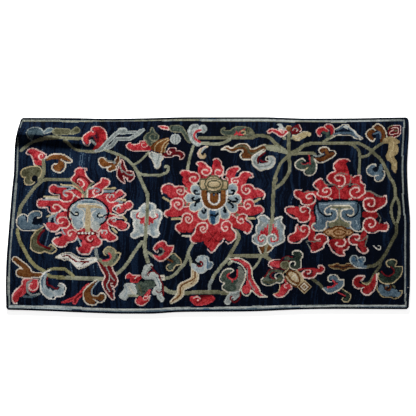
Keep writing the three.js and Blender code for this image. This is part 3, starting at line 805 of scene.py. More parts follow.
    threads = [
        line(Yarn.PALE, 0.35, (-66.4, 11.9), (-62.7, 11.6), (-59.3, 11.3)),
        line(Yarn.PALE, 0.33, (-59.3, 10.9), (-61.6, 10.3), (-63.2, 9.8), (-63.5, 8.6), (-62.3, 7.7)),
        line(Yarn.TAN, 0.35, (-64.8, 12.6), (-62.7, 12.3), (-60.4, 12.4), (-58.8, 11.7), (-56.6, 10.1),
             (-55.2, 8.7), (-55.3, 7)),
        line(Yarn.PALE, 0.33, (-66, 0.1), (-67, -1.6), (-66.8, -3.6), (-65.7, -4.5)),
        line(Yarn.PALE, 0.33, (-63.8, -6.9), (-63.1, -8.3), (-62.4, -9.1)),
        line(Yarn.WINE, 0.45, (-52.5, 13.1), (-52.9, 13.9), (-54.3, 15.3), (-56, 15.9), (-57.2, 15.8),
             (-58.2, 14.8), (-58.2, 13.7), (-57.1, 12.8, 0.35)),
        line(Yarn.OLIVE, 0.4, (-59.9, 13.7), (-57.9, 12.3), (-55.7, 10.6), (-55, 8.5)),
        line(Yarn.OLIVE, 0.4, (-50.7, 13.4), (-51.8, 12.6), (-53.5, 10.3), (-54.1, 8.4), (-54.2, 6.8)),
        line(Yarn.CREAM, 0.3, (-51, 11.7), (-52.7, 10.9), (-53.2, 9.5), (-53.2, 6.7)),
        line(Yarn.PALE, 0.33, (-52.3, 10.6), (-50.3, 11.1), (-48.2, 10.5), (-48.3, 9.7), (-49.3, 9.5)),
        line(Yarn.WHITE, 0.31, (-43.6, 6.9), (-43.2, 8), (-42.2, 8.2), (-41.9, 7.4)),
        line(Yarn.WHITE, 0.31, (-40.6, 1.6), (-40.3, 2.9), (-39.3, 3.2), (-38.9, 2.4)),
        line(Yarn.WHITE, 0.31, (-42.6, -2.6), (-41.8, -1.9), (-40.8, -2.4), (-41, -3.3), (-41.9, -3.4)),
        line(Yarn.CREAM, 0.3, (-43.8, 0.1), (-41.5, -0.4), (-39.3, -1.1), (-37.9, -0.8)),
        line(Yarn.TAN, 0.45, (-37.5, -1.5), (-36.2, -3)),
        line(Yarn.WHITE, 0.31, (-46.6, -8.6), (-46.2, -7.6), (-45, -7.4), (-44.4, -8.2), (-45, -8.9)),
        line(Yarn.PINK, 0.4, (-63.8, 1.9), (-62.2, 1.2)),
        line(Yarn.PALE, 0.33, (-56.8, -10.8), (-55.4, -13.8)),
        line(Yarn.WINE, 0.35, (-53.2, -9.4), (-53.9, -10.8), (-52.9, -12.2), (-51.3, -12.6), (-50, -11.3)),
    ]
    heart = [
        shape(Yarn.PALE, None,
              brush((-58.5, 0, 2.4), (-57.5, 2.5, 2.4), (-53, 4, 2.2), (-48.5, 2.5, 2.6), (-47, 0, 2.4)),
              brush((-57.5, -3.5, 2.4), (-53, -3, 3.5), (-49.5, -3.8, 2.4)), brush((-47, -2.5, 1.7)),
              brush((-57.2, -5.3, 1.8)), brush((-49.8, -5.6, 1.8)), brush((-53, -1, 5))),
        line(Yarn.NAVY, 0.38, (-59.3, -4.7), (-61, -2), (-61.5, -0.5), (-61.3, 1.5), (-60.8, 2.8),
             (-59.5, 4.2), (-57.8, 5.3), (-56.3, 6.3), (-54, 6.4), (-51, 6.3), (-49, 6.1), (-46.8, 4.9),
             (-45.3, 3.5), (-44.2, 2), (-43.9, 1), (-44.1, -1), (-44.8, -2.8), (-46, -4), (-47.2, -4.8),
             (-47.5, -6)),
        line(Yarn.CREAM, 0.22, (-60.4, -2), (-60.3, 1.5), (-58.5, 3.8)),
        line(Yarn.SLATE, 0.42, (-55.3, 5), (-50, 4.8)),
        line(Yarn.PINK, 0.3, (-51.5, -8), (-48.4, -8.2)),
        line(Yarn.CREAM, 0.24, (-57, 3.9), (-54, 4.1), (-50, 4.1), (-47.5, 3.4), (-45.6, 1.8)),
        shape(Yarn.GOLD, None, band(0.72, (-57, 3), (-53, 3), (-50, 2.9), (-47, 2.4, 0.4)),
              band(1.15, (-52.7, 2), (-52.7, -7.3))),
        shape(Yarn.PALE, None, brush((-57, -3.9, 2))),
        dots(Yarn.SLATE, (-55.6, -4.1, 0.6)),
        shape(Yarn.WHITE, None, brush((-49.4, -5.2, 1.8))),
        line(Yarn.CREAM, 0.22, (-56.3, 2), (-55, 1.5), (-54.2, 0), (-54.5, -1.5), (-55, -2.5), (-54.3, -3.8),
             (-54.4, -5.5), (-55.3, -6.8)),
        line(Yarn.CREAM, 0.22, (-49.5, 1.3), (-50.8, 0.5), (-51.3, -0.7), (-50.7, -2), (-50.4, -2.8),
             (-51.2, -4), (-51.2, -6), (-50.2, -7.3)),
        line(Yarn.NAVY, 0.33, (-60.5, 0.8), (-59.3, -0.2), (-58.3, -1), (-57.2, -0.9), (-56.8, -0.2),
             (-57.3, 0.5), (-58, 0.4)),
        dots(Yarn.CREAM, (-57.8, -0.2, 0.42)),
        line(Yarn.NAVY, 0.33, (-47.8, 0), (-48.5, -0.5), (-48.6, -1.4), (-47.8, -1.8), (-46.5, -1.5),
             (-45.3, -0.8), (-44.3, -0.7)),
        line(Yarn.CREAM, 0.28, (-48, -0.8), (-46.3, -0.9)),
        line(Yarn.CREAM, 0.25, (-59.7, -2.8), (-59.1, -5.2), (-57.4, -7.1), (-55.6, -7)),
        line(Yarn.CREAM, 0.25, (-47.4, -5.5), (-48.3, -7.1), (-50, -7.6)),
        line(Yarn.WINE, 0.8, (-56.8, -8.7), (-49.5, -8.7)),
        dots(Yarn.IVORY, (-56.3, -8.6, 0.48), (-54.9, -8.6, 0.48), (-53.5, -8.6, 0.48), (-52.1, -8.6, 0.48),
             (-50.6, -8.6, 0.48)),
    ]
    return [*rays, bodies, edges, *threads, *heart]


def left_palmette() -> list[Layer]:
    """Gives the pale two-winged palmette between the left and the middle blossom."""
    return [
        shape(Yarn.WHITE, None, brush((-27.3, 3, 1.6), (-25.2, 3.2, 1.5), (-24.5, 2.4, 1.2), (-25, 0, 2)),
              brush((-24, 0, 1.8), (-22.2, 0, 1.5), (-22.2, -1.8, 1.3), (-23.3, -4, 1.7), (-24, -7, 1.6),
                    (-23.5, -8.6, 1.5), (-25, -8.2, 1.6), (-26, -6.5, 1.6), (-26, -2, 1.6)),
              brush((-27.3, 3, 1.6), (-29, 2.6, 1.3), (-29.8, 1.4, 1.1), (-29.5, 0, 2)),
              brush((-30.6, 0, 1.8), (-32.8, -0.2, 1.4), (-32.4, -1.6, 1.3), (-31.5, -4.2, 1.6),
                    (-31.2, -6.5, 1.7), (-32.4, -9.3, 1.4), (-30, -8.2, 1.5), (-28.8, -6.5, 1.6),
                    (-28.6, -2, 1.6))),
        shape(Yarn.PALE, None, band(0.7, (-25.4, 3.6), (-25.5, 1)), band(0.9, (-25.4, -5.2), (-24.6, -8.6)),
              band(0.6, (-22.2, 0.6), (-21.7, -0.8), (-22.3, -2.6)), band(0.6, (-23.6, -3.6), (-23.4, -6)),
              band(0.7, (-29.8, -5), (-29.6, -8)), band(0.4, (-32.7, -0.8), (-31.6, -2.8)),
              band(0.6, (-32.6, -9.6), (-31, -9)), band(0.5, (-29.2, 2.6), (-28.8, 0.6))),
        line(Yarn.SLATE, 0.3, (-26.1, 3.6), (-26, 1.4)),
        line(Yarn.SLATE, 0.25, (-21.9, -0.4), (-22.2, -2.2)),
        line(Yarn.GUARD, 0.3, (-31.8, -3.4), (-31.4, -5)),
        line(Yarn.IVORY, 0.3, (-28.3, 4.4), (-29.6, 3.4), (-30.5, 2.3), (-31.1, 1.3), (-32.6, 1.1),
             (-33.8, 0.9), (-34.2, -0.2), (-34, -1.5), (-33.2, -2.4), (-32.4, -3.1), (-33.1, -3.8),
             (-33.2, -4.7), (-32.8, -5.8), (-32.7, -7.9), (-33.8, -8.5), (-34.1, -9.4), (-33.6, -10.3),
             (-32.5, -10.7), (-31.3, -10.3), (-30.4, -9.7), (-28.4, -9.4)),
        line(Yarn.IVORY, 0.3, (-26.3, 4.6), (-24.8, 4.1), (-23.8, 3.3), (-23.8, 1.8), (-22.4, 1.5),
             (-21.3, 0.7), (-20.9, -0.5), (-20.9, -2), (-21.9, -3.1), (-21.8, -4.3), (-22.4, -5.6),
             (-22.8, -7), (-22.2, -7.9), (-22, -8.8), (-22.5, -9.8), (-23.3, -10.2), (-24.5, -10.3),
             (-25.6, -9.3), (-26.8, -8.6)),
        shape(Yarn.ROSE, None,
              band(0.3, (-30.8, 0.2), (-31.8, -0.7), (-31.7, -1.7), (-30.4, -2.3), (-29, -2.4, 0.6)),
              band(0.6, (-28.5, -1.7, 0.3), (-29.2, -2.7, 0.8), (-29.7, -4)),
              band(0.35, (-28.5, -1.5), (-28.6, -3.8), (-28.5, -5.1, 0.2))),
        shape(Yarn.ROSE, None,
              band(0.3, (-23.8, 0), (-22.9, -0.6), (-22.9, -1.7), (-24.2, -2.4), (-25.3, -2.4, 0.6)),
              band(0.6, (-26.1, -1.7, 0.3), (-25.5, -2.7, 0.8), (-25.1, -3.9)),
              band(0.35, (-26.2, -1.5), (-26.2, -3.8), (-26.3, -5.1, 0.2))),
        line(Yarn.IVORY, 0.28, (-30.2, 0.3), (-30.9, -0.5), (-30.9, -1.3), (-30, -1.7), (-29, -1.3),
             (-28.5, -0.6)),
        line(Yarn.IVORY, 0.28, (-24.4, 0.5), (-23.7, -0.3), (-23.8, -1.3), (-24.7, -1.8), (-25.6, -1.2),
             (-26, -0.2), (-25.7, 0.8)),
        line(Yarn.IVORY, 0.24, (-25.2, 1.3), (-24, 1.2)),
        line(Yarn.REED, 0.75, (-27.2, 5), (-27.2, 1.5)),
        line(Yarn.OLIVE, 0.7, (-27.2, 2), (-27.4, -3), (-27.6, -7)),
        line(Yarn.REED, 0.72, (-27.6, -6.5), (-27.9, -10)),
    ]


def middle_vines() -> list[Layer]:
    """Gives the vines of the middle third."""
    return [
        line(Yarn.OLIVE, 0.75, (-4.8, 33.3), (5, 33.3), (17, 33.3), (20, 34.2), (23.3, 34.2), (25.4, 33.6),
             (27.1, 32.3), (28.6, 30.7), (30.2, 29.4), (31.8, 28.2), (33.3, 27)),
        line(Yarn.REED, 0.7, (-4.5, 31), (0, 30.7), (4, 30.7), (6.5, 31.5), (8.5, 32.7)),
        line(Yarn.REED, 0.6, (-7.5, 29.5), (-8.3, 27), (-9, 24.5), (-9.6, 21.5), (-10, 19.3)),
        line(Yarn.OLIVE, 0.72, (11, -7.5), (12.3, -10), (11.6, -12), (10.2, -14.6), (9.1, -16.4),
             (8.1, -18.3)),
        line(Yarn.REED, 0.72, (8.1, -18.3), (6.6, -20.5), (4.9, -22.3), (3.1, -24.6), (1.5, -26.7),
             (0.5, -28.8)),
        line(Yarn.REED, 0.7, (9.8, -19.9), (7.9, -21.6)),
        line(Yarn.GUARD, 0.75, (0.5, -28.8), (-0.3, -30.5), (-0.3, -33)),
        line(Yarn.OLIVE, 0.78, (9, -18.3), (15, -18.3), (22, -18.3), (24, -19), (25.8, -20.3)),
        line(Yarn.REED, 0.5, (21.5, -18.8), (20.4, -21.1), (19.1, -22.7), (18, -23.9)),
        line(Yarn.REED, 0.68, (-7.4, -12.7), (-8.1, -13.8), (-9.1, -15.8), (-9.7, -17.9), (-10.3, -19.9),
             (-11.4, -22), (-13.4, -24.2), (-15, -26), (-17, -27.3), (-19.4, -28)),
        line(Yarn.REED, 0.6, (-9.4, -18), (-8.6, -20.2), (-8.2, -22.3)),
        line(Yarn.REED, 0.85, (-19.5, -31.9), (-18.4, -33), (-16.4, -33.8), (-13, -34), (-9.5, -34)),
        line(Yarn.OLIVE, 0.85, (-10.5, -34), (-5.1, -33.8), (0, -33.7), (5, -33.9), (7.2, -34.2)),
        line(Yarn.OLIVE, 0.75, (28.5, 15), (27.5, 12), (27, 5), (26.7, -2), (26, -6), (24.5, -12),
             (24, -17.5)),
    ]


def middle_top_leaves() -> list[Layer]:
    """Gives the leaves over the middle blossom."""
    return [
        shape(Yarn.ROSE, None,
              brush((-35.8, 29.8, 1.2), (-33.5, 28.9, 1.4), (-31, 29.2, 1.6), (-29, 30.2, 1.7)),
              brush((-29, 28.6, 1.2), (-26.5, 28.6, 1)), brush((-35.2, 30.7, 0.5))),
        line(Yarn.PINK, 0.21, (-34.6, 31.2), (-35.8, 31), (-36.8, 29.8), (-35.8, 28.3), (-33.5, 27.4),
             (-29, 27.3), (-26.3, 27.6)),
        line(Yarn.PINK, 0.21, (-34.4, 30.6), (-33, 30.3), (-31, 31), (-30.5, 31.9), (-28.5, 31.9),
             (-27.2, 30.8), (-27.5, 29.8), (-29, 29.1), (-30, 29.8), (-29.8, 30.8), (-29, 30.8)),
        shape(Yarn.BOTTLE, Yarn.OLIVE, brush((-28.2, 33.2, 0.9), (-26, 33.6, 2.2), (-24.3, 33.8, 1.6)),
              brush((-25.4, 35.4, 1.1), (-25.5, 37.3, 0.5)), brush((-27, 31.6, 0.9), (-26.2, 30.5, 0.6))),
        line(Yarn.OLIVE, 0.24, (-23.2, 32.4), (-25, 31.9), (-26.5, 33), (-26.6, 34.2), (-25.5, 35),
             (-24.2, 34.5), (-24.4, 33.6)),
        shape(Yarn.CHESTNUT, None,
              brush((-24.6, 29, 1.5), (-22.5, 29.5, 2.5), (-20.5, 31.2, 1.8), (-18.6, 32.6, 0.8)),
              brush((-21.6, 27.7, 1.5))),
        line(Yarn.TAN, 0.2, (-24.3, 27.5), (-24.2, 29.3), (-22.5, 31.3), (-20, 32.6), (-18.5, 33)),
        line(Yarn.TAN, 0.2, (-21.5, 26.6), (-21, 29), (-20, 31), (-18.3, 32.4)),
        line(Yarn.TAN, 0.22, (-20, 26.8), (-19.6, 29), (-18.4, 31)),
        shape(Yarn.GUARD, Yarn.WHITE, brush((-15.3, 32.8, 2))),
        line(Yarn.WHITE, 0.18, (-15.8, 34.5), (-15.9, 31.3)),
        line(Yarn.WHITE, 0.18, (-14.6, 34), (-14.6, 31.5)),
        shape(Yarn.BOTTLE, Yarn.OLIVE,
              brush((-16.4, 37.5, 1.4), (-14, 37.4, 1.4), (-12.3, 36.7, 0.8), (-11, 34.8, 0.7),
                    (-9.8, 32.7, 0.8), (-9, 31.7, 0.5))),
        dots(Yarn.PINE, (-17, 37.5, 0.4), (-13.8, 37.5, 0.4)),
        shape(Yarn.ROSE, Yarn.PINK,
              brush((-22.6, 38.6, 0.1), (-21, 38.1, 0.6), (-19.2, 37.7, 0.6), (-18.4, 37.2, 0.2))),
        shape(Yarn.WHITE, Yarn.CREAM,
              brush((-25.4, 25.7, 1.2), (-24, 24.5, 1.6), (-23.1, 22, 1.3), (-23.2, 20.8, 1)),
              brush((-22.2, 24.6, 1.5))),
        line(Yarn.GUARD, 0.5, (-25.8, 26.4), (-25.3, 25)),
        line(Yarn.GUARD, 0.2, (-22, 25.6), (-22.8, 23.6), (-23.3, 21.5)),
        shape(Yarn.WINE, None,
              brush((-20.6, 25.7, 0.5), (-18.8, 25.9, 1), (-17, 26.8, 1.4), (-14.5, 26.6, 1),
                    (-12.7, 26, 0.9), (-12.8, 24.7, 0.7)), brush((-16.5, 28, 0.8))),
        line(Yarn.PINK, 0.21, (-18.9, 27.3), (-18.3, 28.3), (-17.3, 28.9), (-15.3, 28.7), (-14.9, 27.7),
             (-13.3, 27.5), (-11.8, 26.5), (-11.3, 25.3), (-12.3, 24), (-13.4, 23.7), (-13.5, 25),
             (-14.5, 25.4), (-15.8, 25.3), (-17.3, 24.6), (-19.5, 24.6), (-20.8, 25.2)),
        line(Yarn.PINK, 0.24, (-18.9, 27.3), (-18.8, 26.5), (-17.8, 26), (-17.2, 26.8), (-17.8, 27.2)),
        shape(Yarn.WHITE, Yarn.WHITE,
              brush((-7.2, 37.9, 1.3), (-7.9, 36, 1.4), (-7.4, 33.5, 1.2), (-6, 31.3, 0.9),
                    (-4.8, 30.6, 0.5)), brush((-3.4, 37.3, 1.6), (-5, 36.8, 0.8))),
        line(Yarn.WHITE, 0.25, (-4.8, 38.3), (-5.7, 39.2), (-7.2, 39.4), (-8.7, 38.5), (-9.6, 37),
             (-9.7, 36), (-9.3, 34), (-8.3, 32), (-7, 30.4), (-5, 29.6)),
        line(Yarn.GUARD, 0.36, (-5.6, 37.9), (-7.3, 38.2), (-8.4, 36.9), (-8.3, 34.9), (-7.7, 33),
             (-6.3, 31.1)),
        line(Yarn.GUARD, 0.4, (-3.2, 38.2), (-2.7, 37)),
        line(Yarn.ROSE, 0.45, (-4.2, 36.8), (-5.8, 36.3), (-7, 35), (-7, 33.5), (-6, 32.3), (-4.6, 31.4)),
        shape(Yarn.GOLD, None,
              brush((-1.2, 29.6, 0.4), (-3, 28.7, 0.6), (-4.6, 27.3, 0.7), (-4.8, 25.8, 0.8),
                    (-3.8, 24.7, 0.8), (-2.6, 25, 0.7), (-2.5, 26, 0.4))),
        line(Yarn.PINK, 0.2, (-2, 29.6), (-4, 28.6), (-5.4, 27), (-5.4, 25.4), (-4.3, 24)),
        line(Yarn.PALE, 0.3, (-2.3, 28.8), (-3.4, 27.8), (-3.7, 27)),
        shape(Yarn.BOTTLE, Yarn.OLIVE,
              brush((6.1, 37.7, 0.2), (5.3, 36.3, 0.7), (6.5, 35.6, 0.9), (9, 35.5, 1.1), (11.5, 36.3, 1.8),
                    (14, 36.5, 1.7), (16.5, 36.2, 1.5), (18.5, 35.2, 0.6))),
        shape(Yarn.ROSE, None,
              brush((10.5, 34.7, 0.3), (11.4, 35.2, 0.5), (12.5, 34.9, 0.5), (14.6, 34.6, 0.3)),
              brush((11.3, 36.2, 0.2), (11.5, 35.3, 0.5)),
              brush((12.7, 35.2, 0.4), (13.3, 36.3, 0.35), (15, 37.2, 0.2))),
        line(Yarn.TAN, 0.3, (13.5, 36.3), (14.5, 36.5), (15.4, 36), (15.2, 35.3), (14.3, 35.1)),
        line(Yarn.OLIVE, 0.8, (16.9, 36.3, 1), (18.6, 35.3, 0.6)),
        line(Yarn.MOSS, 0.3, (16.4, 37.6), (16.8, 35.4)),
        shape(Yarn.BROWN, None,
              brush((5.5, 28.3, 0.3), (7.3, 28.7, 0.6), (9.3, 27.9, 0.7), (11.5, 28.8, 1), (13.5, 29.3, 1.2),
                    (15.5, 29, 1.5), (16.3, 27, 2), (15.3, 25.4, 1.5), (17.5, 25.7, 1.6), (20, 27, 1.4),
                    (23, 28.7, 1.1))),
        line(Yarn.MOSS, 0.42, (11, 29.1), (14, 29.7), (16.2, 28.5), (17, 26.6), (19, 26.4), (22, 28)),
        line(Yarn.CREAM, 0.27, (4.6, 28.1), (6.3, 29.2), (7.7, 29.5), (8.8, 28.8), (10, 28.9), (11.3, 30),
             (13, 30.7), (15.3, 30.7), (16.7, 29.8), (17.5, 28.5), (18.5, 28.3), (20.5, 29), (22.5, 30),
             (24, 30.3)),
        line(Yarn.CREAM, 0.27, (4.6, 28.1), (7, 28), (8.3, 27.2), (9.5, 26.9), (11, 27.1), (12.3, 27.9),
             (13.8, 27.8), (14.2, 27), (13.3, 26.3), (13, 25.3), (14, 23.9), (16, 23.6), (18, 23.9),
             (20, 24.8), (22, 26.3), (24, 27.8)),
    ]


def middle_blossom() -> list[Layer]:
    """Gives the middle blossom: petals, pale inner petals, the brown cup and the plate over it."""
    sticks = [
        line(Yarn.TAN, 0.5, (-20.3, 6.8), (-17.7, 5.3)),
        line(Yarn.TAN, 0.5, (-16.5, -2.5), (-13, -2.3)),
        line(Yarn.CREAM, 0.48, (-11.8, -9.7), (-8.7, -9.8)),
        line(Yarn.TAN, 0.5, (19, 5), (21.3, 6.3)),
        line(Yarn.TAN, 0.5, (16, -2), (19, -2.2)),
    ]
    bodies = shape(
        Yarn.ROSE, None,
        band(2.4, (-8, 12), (-9, 7), (-7.5, 1), (-3, -3), (1.5, -5), (6, -3), (10, 1), (12, 6), (10.5, 12)),
        brush((-4.8, 21.9, 0.8), (-3.5, 20.8, 1.8), (-2.6, 18.5, 2.7), (-3.5, 16.5, 1.8)),
        brush((-12.3, 17.8, 0.9), (-10.5, 17, 1.7), (-9.3, 15, 2.3), (-9.8, 12.6, 1.5)),
        band(2.3, (-7, 15.6), (-9.8, 14.2)), brush((-19.3, 10.5, 1.9), (-16, 9.8, 2.3), (-13, 9.8, 2)),
        brush((-17, 8.3, 1.5), (-13.5, 6.9, 1.6), (-10.5, 8.3, 0.8)),
        brush((-18.7, -0.2, 1.1), (-15.5, 0.6, 2), (-11.5, 1, 1.9), (-9, 1.2, 1.3)), brush((-14.4, 4, 2.6)),
        brush((4.2, -7, 1)), brush((21.3, 1.8, 1.4), (17.5, 1.2, 2.2), (13, 1.6, 1.8)),
        brush((16.6, 4, 2.2)), brush((21.8, 8.7, 1.6), (18.5, 9, 2.3), (15.5, 8, 2), (13.3, 8, 0.6)),
        brush((16, 10.5, 2.3), (17.5, 7, 1.2)),
        brush((16.8, 16.6, 0.9), (15, 16.5, 1.6), (13.8, 14.5, 1.9), (12.8, 12, 1.8)), brush((11, 14, 1.8)),
        brush((11.6, 19.3, 0.8), (10, 18.7, 1.5), (8.8, 16.8, 1.9), (8.3, 14, 1.6), (9, 12.8, 0.8)),
        brush((2.5, 23, 1), (2.8, 21, 1.9), (3.2, 18.5, 2.4), (2.5, 17, 2)))
    deeper = shape(
        Yarn.MADDER, None,
        brush((-13.5, -6.3, 1.7), (-10.5, -5.5, 2.6), (-7, -3.8, 2), (-5.5, -3, 1.2)),
        brush((-10, -2.2, 2.4)), brush((-9.6, -7, 1.2), (-8.2, -7.6, 0.7)),
        brush((-6.8, -11, 1.6), (-4.5, -9.5, 2.8), (-1.5, -8.5, 3)), brush((-4, -6.3, 2.3), (-1, -5.5, 1.6)),
        brush((1, -10, 3.5), (0.8, -15.5, 1)), brush((3.6, -10.5, 1.5)), brush((2.6, -12.8, 1.2)),
        brush((-1.2, -12.3, 1.6), (-0.4, -13.8, 1.2)), brush((5.3, -9, 1.1), (5.6, -10.6, 0.8)),
        brush((8.5, -10, 2.2), (6.8, -7.5, 2.2), (6.9, -5.6, 2.3)),
        brush((15.8, -6.2, 1.9), (13, -4.8, 2.2), (9.5, -4, 1.8), (8, -3.2, 1.3)),
        brush((13.5, -2.5, 2.1), (9.3, -1.3, 1)))
    edges = lines(
        Yarn.PINK, 0.29,
        ((-5.3, 20.9), (-6, 21.9), (-5, 22.7), (-3.3, 22.6), (-1.9, 21.6), (-1.2, 20.6), (0, 20),
         (0.4, 18.6), (-0.1, 17.6), (-1.7, 16.6), (-3.2, 17.2), (-3.7, 18.3), (-3.1, 19.1), (-1.7, 19.1),
         (-1.4, 18.6)),
        ((-13.2, 17.5), (-12.6, 18.6), (-11.1, 18.9), (-9.5, 18.7), (-8.4, 18), (-7.3, 18.1), (-5.7, 17.5),
         (-4.8, 16.4), (-4.8, 14.7), (-6.1, 13.3), (-7.8, 13.4), (-9, 14.7), (-8.7, 15.6), (-7.5, 16.1),
         (-6.5, 15.9), (-6.7, 15.3)),
        ((-20.8, 8.6), (-21.4, 10.5), (-20.6, 12), (-18.9, 12.8), (-16.7, 12.8), (-15.4, 11.6), (-13.9, 12),
         (-11.7, 11.7), (-11.1, 10.3), (-11.7, 8.6), (-12.9, 8.1), (-14.3, 9.1), (-14.3, 10), (-12.9, 10.6),
         (-12.5, 9.8), (-13.2, 9.7)),
        ((-10.9, 9.7), (-9.5, 8.9)),
        ((-18.6, -1.7), (-19.7, -0.9), (-20, 0), (-19.2, 1.1), (-17.5, 2), (-17, 3.1), (-17.2, 5),
         (-16.2, 6.2), (-14.5, 6.6), (-12.6, 6.2), (-11.7, 5), (-11.8, 3.4), (-12.6, 2), (-13.7, 1.6),
         (-15.1, 2.7), (-15.6, 3.8), (-15, 4.7), (-13.7, 4.7), (-13.4, 3.9), (-14.2, 3.7)),
        ((-11.5, 2.8), (-9.5, 3)),
        ((-13.1, -8.6), (-14.3, -7.5), (-15.1, -6.1), (-14.5, -4.7), (-12.6, -3.9), (-12.3, -2.5),
         (-12, -0.9), (-10.4, 0), (-8.6, -0.5), (-7.8, -1.6), (-7.9, -3.1), (-9.2, -4.2), (-10.4, -3.3),
         (-10.7, -2.3), (-10, -1.6), (-9, -2), (-9.5, -2.8)),
        ((-6.2, -13), (-7.3, -12.7), (-8.6, -11.4), (-8.1, -9.7), (-6.7, -8.1), (-6.4, -6.6), (-5.7, -5),
         (-4.2, -4.2), (-2, -4.2), (-1.4, -5.6), (-1.7, -7.2), (-2.9, -8.3), (-4.2, -7.3), (-4.2, -6.2),
         (-3.2, -5.8), (-2.5, -6.4), (-3.1, -7)),
        ((-1.2, -15.6), (0.3, -16.9), (1.9, -15.9), (3.4, -13.8), (5.2, -12.2), (5.6, -10.9)),
        ((6.6, -12.2), (7.7, -13), (9.4, -12.2), (10.8, -10.6), (10.9, -8.4), (10, -7.2), (9.1, -6.2),
         (9.1, -4.7), (7.5, -3.3), (5.6, -3.8), (4.7, -5), (5, -6.6), (6.2, -7.7), (7.3, -6.9), (7.2, -5.9),
         (6.2, -5.9)),
        ((14.5, -8), (15.6, -8.8), (17, -8), (17.8, -6.2), (17.8, -4.7), (16.6, -3.3), (15.3, -2.5),
         (15.6, -0.9), (14.1, -0.3), (12.5, -0.6), (11.6, -1.6), (11.4, -3.1), (12.5, -4.2), (13.9, -4.1),
         (14.1, -3.1), (13.4, -2.2), (12.7, -2.7)),
        ((9.4, -0.6), (10.6, -1.6), (11.4, -1.9)),
        ((21.9, 0), (22.8, 0.6), (23, 1.7), (21.9, 3.1), (20.3, 3.4), (19.1, 3.1), (18.8, 4.7), (17.8, 5.8),
         (15.9, 5.9), (14.7, 5), (14.4, 3.4), (15.3, 2), (16.6, 2.3), (17.2, 3.4), (16.2, 4.2), (15.6, 3.8)),
        ((12, 3), (14.4, 3.1)),
        ((22.8, 6.2), (23.6, 8.4), (22.5, 9.7), (20.6, 10.8), (19.4, 10.6), (18.1, 12.2), (16.2, 12.8),
         (14.1, 12.2), (13.4, 10.6), (14.1, 9.1), (15.6, 8.4), (16.9, 9.4), (16.7, 10.6), (15.3, 10.9),
         (15.2, 10)),
        ((17, 15.8), (18.4, 15.9), (18.1, 17.2), (16.9, 18), (15, 18.3), (13.4, 17.7), (12.3, 16.1),
         (10.9, 15.6), (9.4, 15.3), (9.1, 14.1), (10, 13.1), (11.4, 13), (11.9, 14.1), (10.9, 14.5),
         (10.3, 14.1)),
        ((11.7, 18.3), (12.7, 19.4), (12.2, 20.3), (10.6, 20.5), (8.8, 20), (7.2, 18.9), (6.9, 17.3),
         (5.6, 16.9), (5.2, 15.6), (6.2, 14.7), (7.5, 14.5), (7.2, 15.6), (6.6, 15.6)),
        ((1.2, 23.4), (2.2, 24.1), (3.4, 23.9), (4.7, 22.7), (4.8, 21.2), (5.6, 20), (5.6, 18.1),
         (4.7, 16.6), (3.1, 16.4), (2, 17.3), (2.2, 18.7), (3.4, 19.2), (4.2, 18.7)),
    )
    shadow = [
        line(Yarn.MADDER, 0.7, (-1, -7.5), (3, -12.5)),
        line(Yarn.MADDER, 0.7, (3, -7.5), (-1, -12.5)),
        line(Yarn.WINE, 0.22, (-0.8, -7.8), (2.8, -12.2)),
        line(Yarn.WINE, 0.22, (2.8, -7.8), (-0.8, -12.2)),
        dots(Yarn.OLIVE, (-10.5, 10.8, 0.6), (-10, 4, 0.6), (13.3, 4.2, 0.6), (11.5, -0.7, 0.7)),
    ]
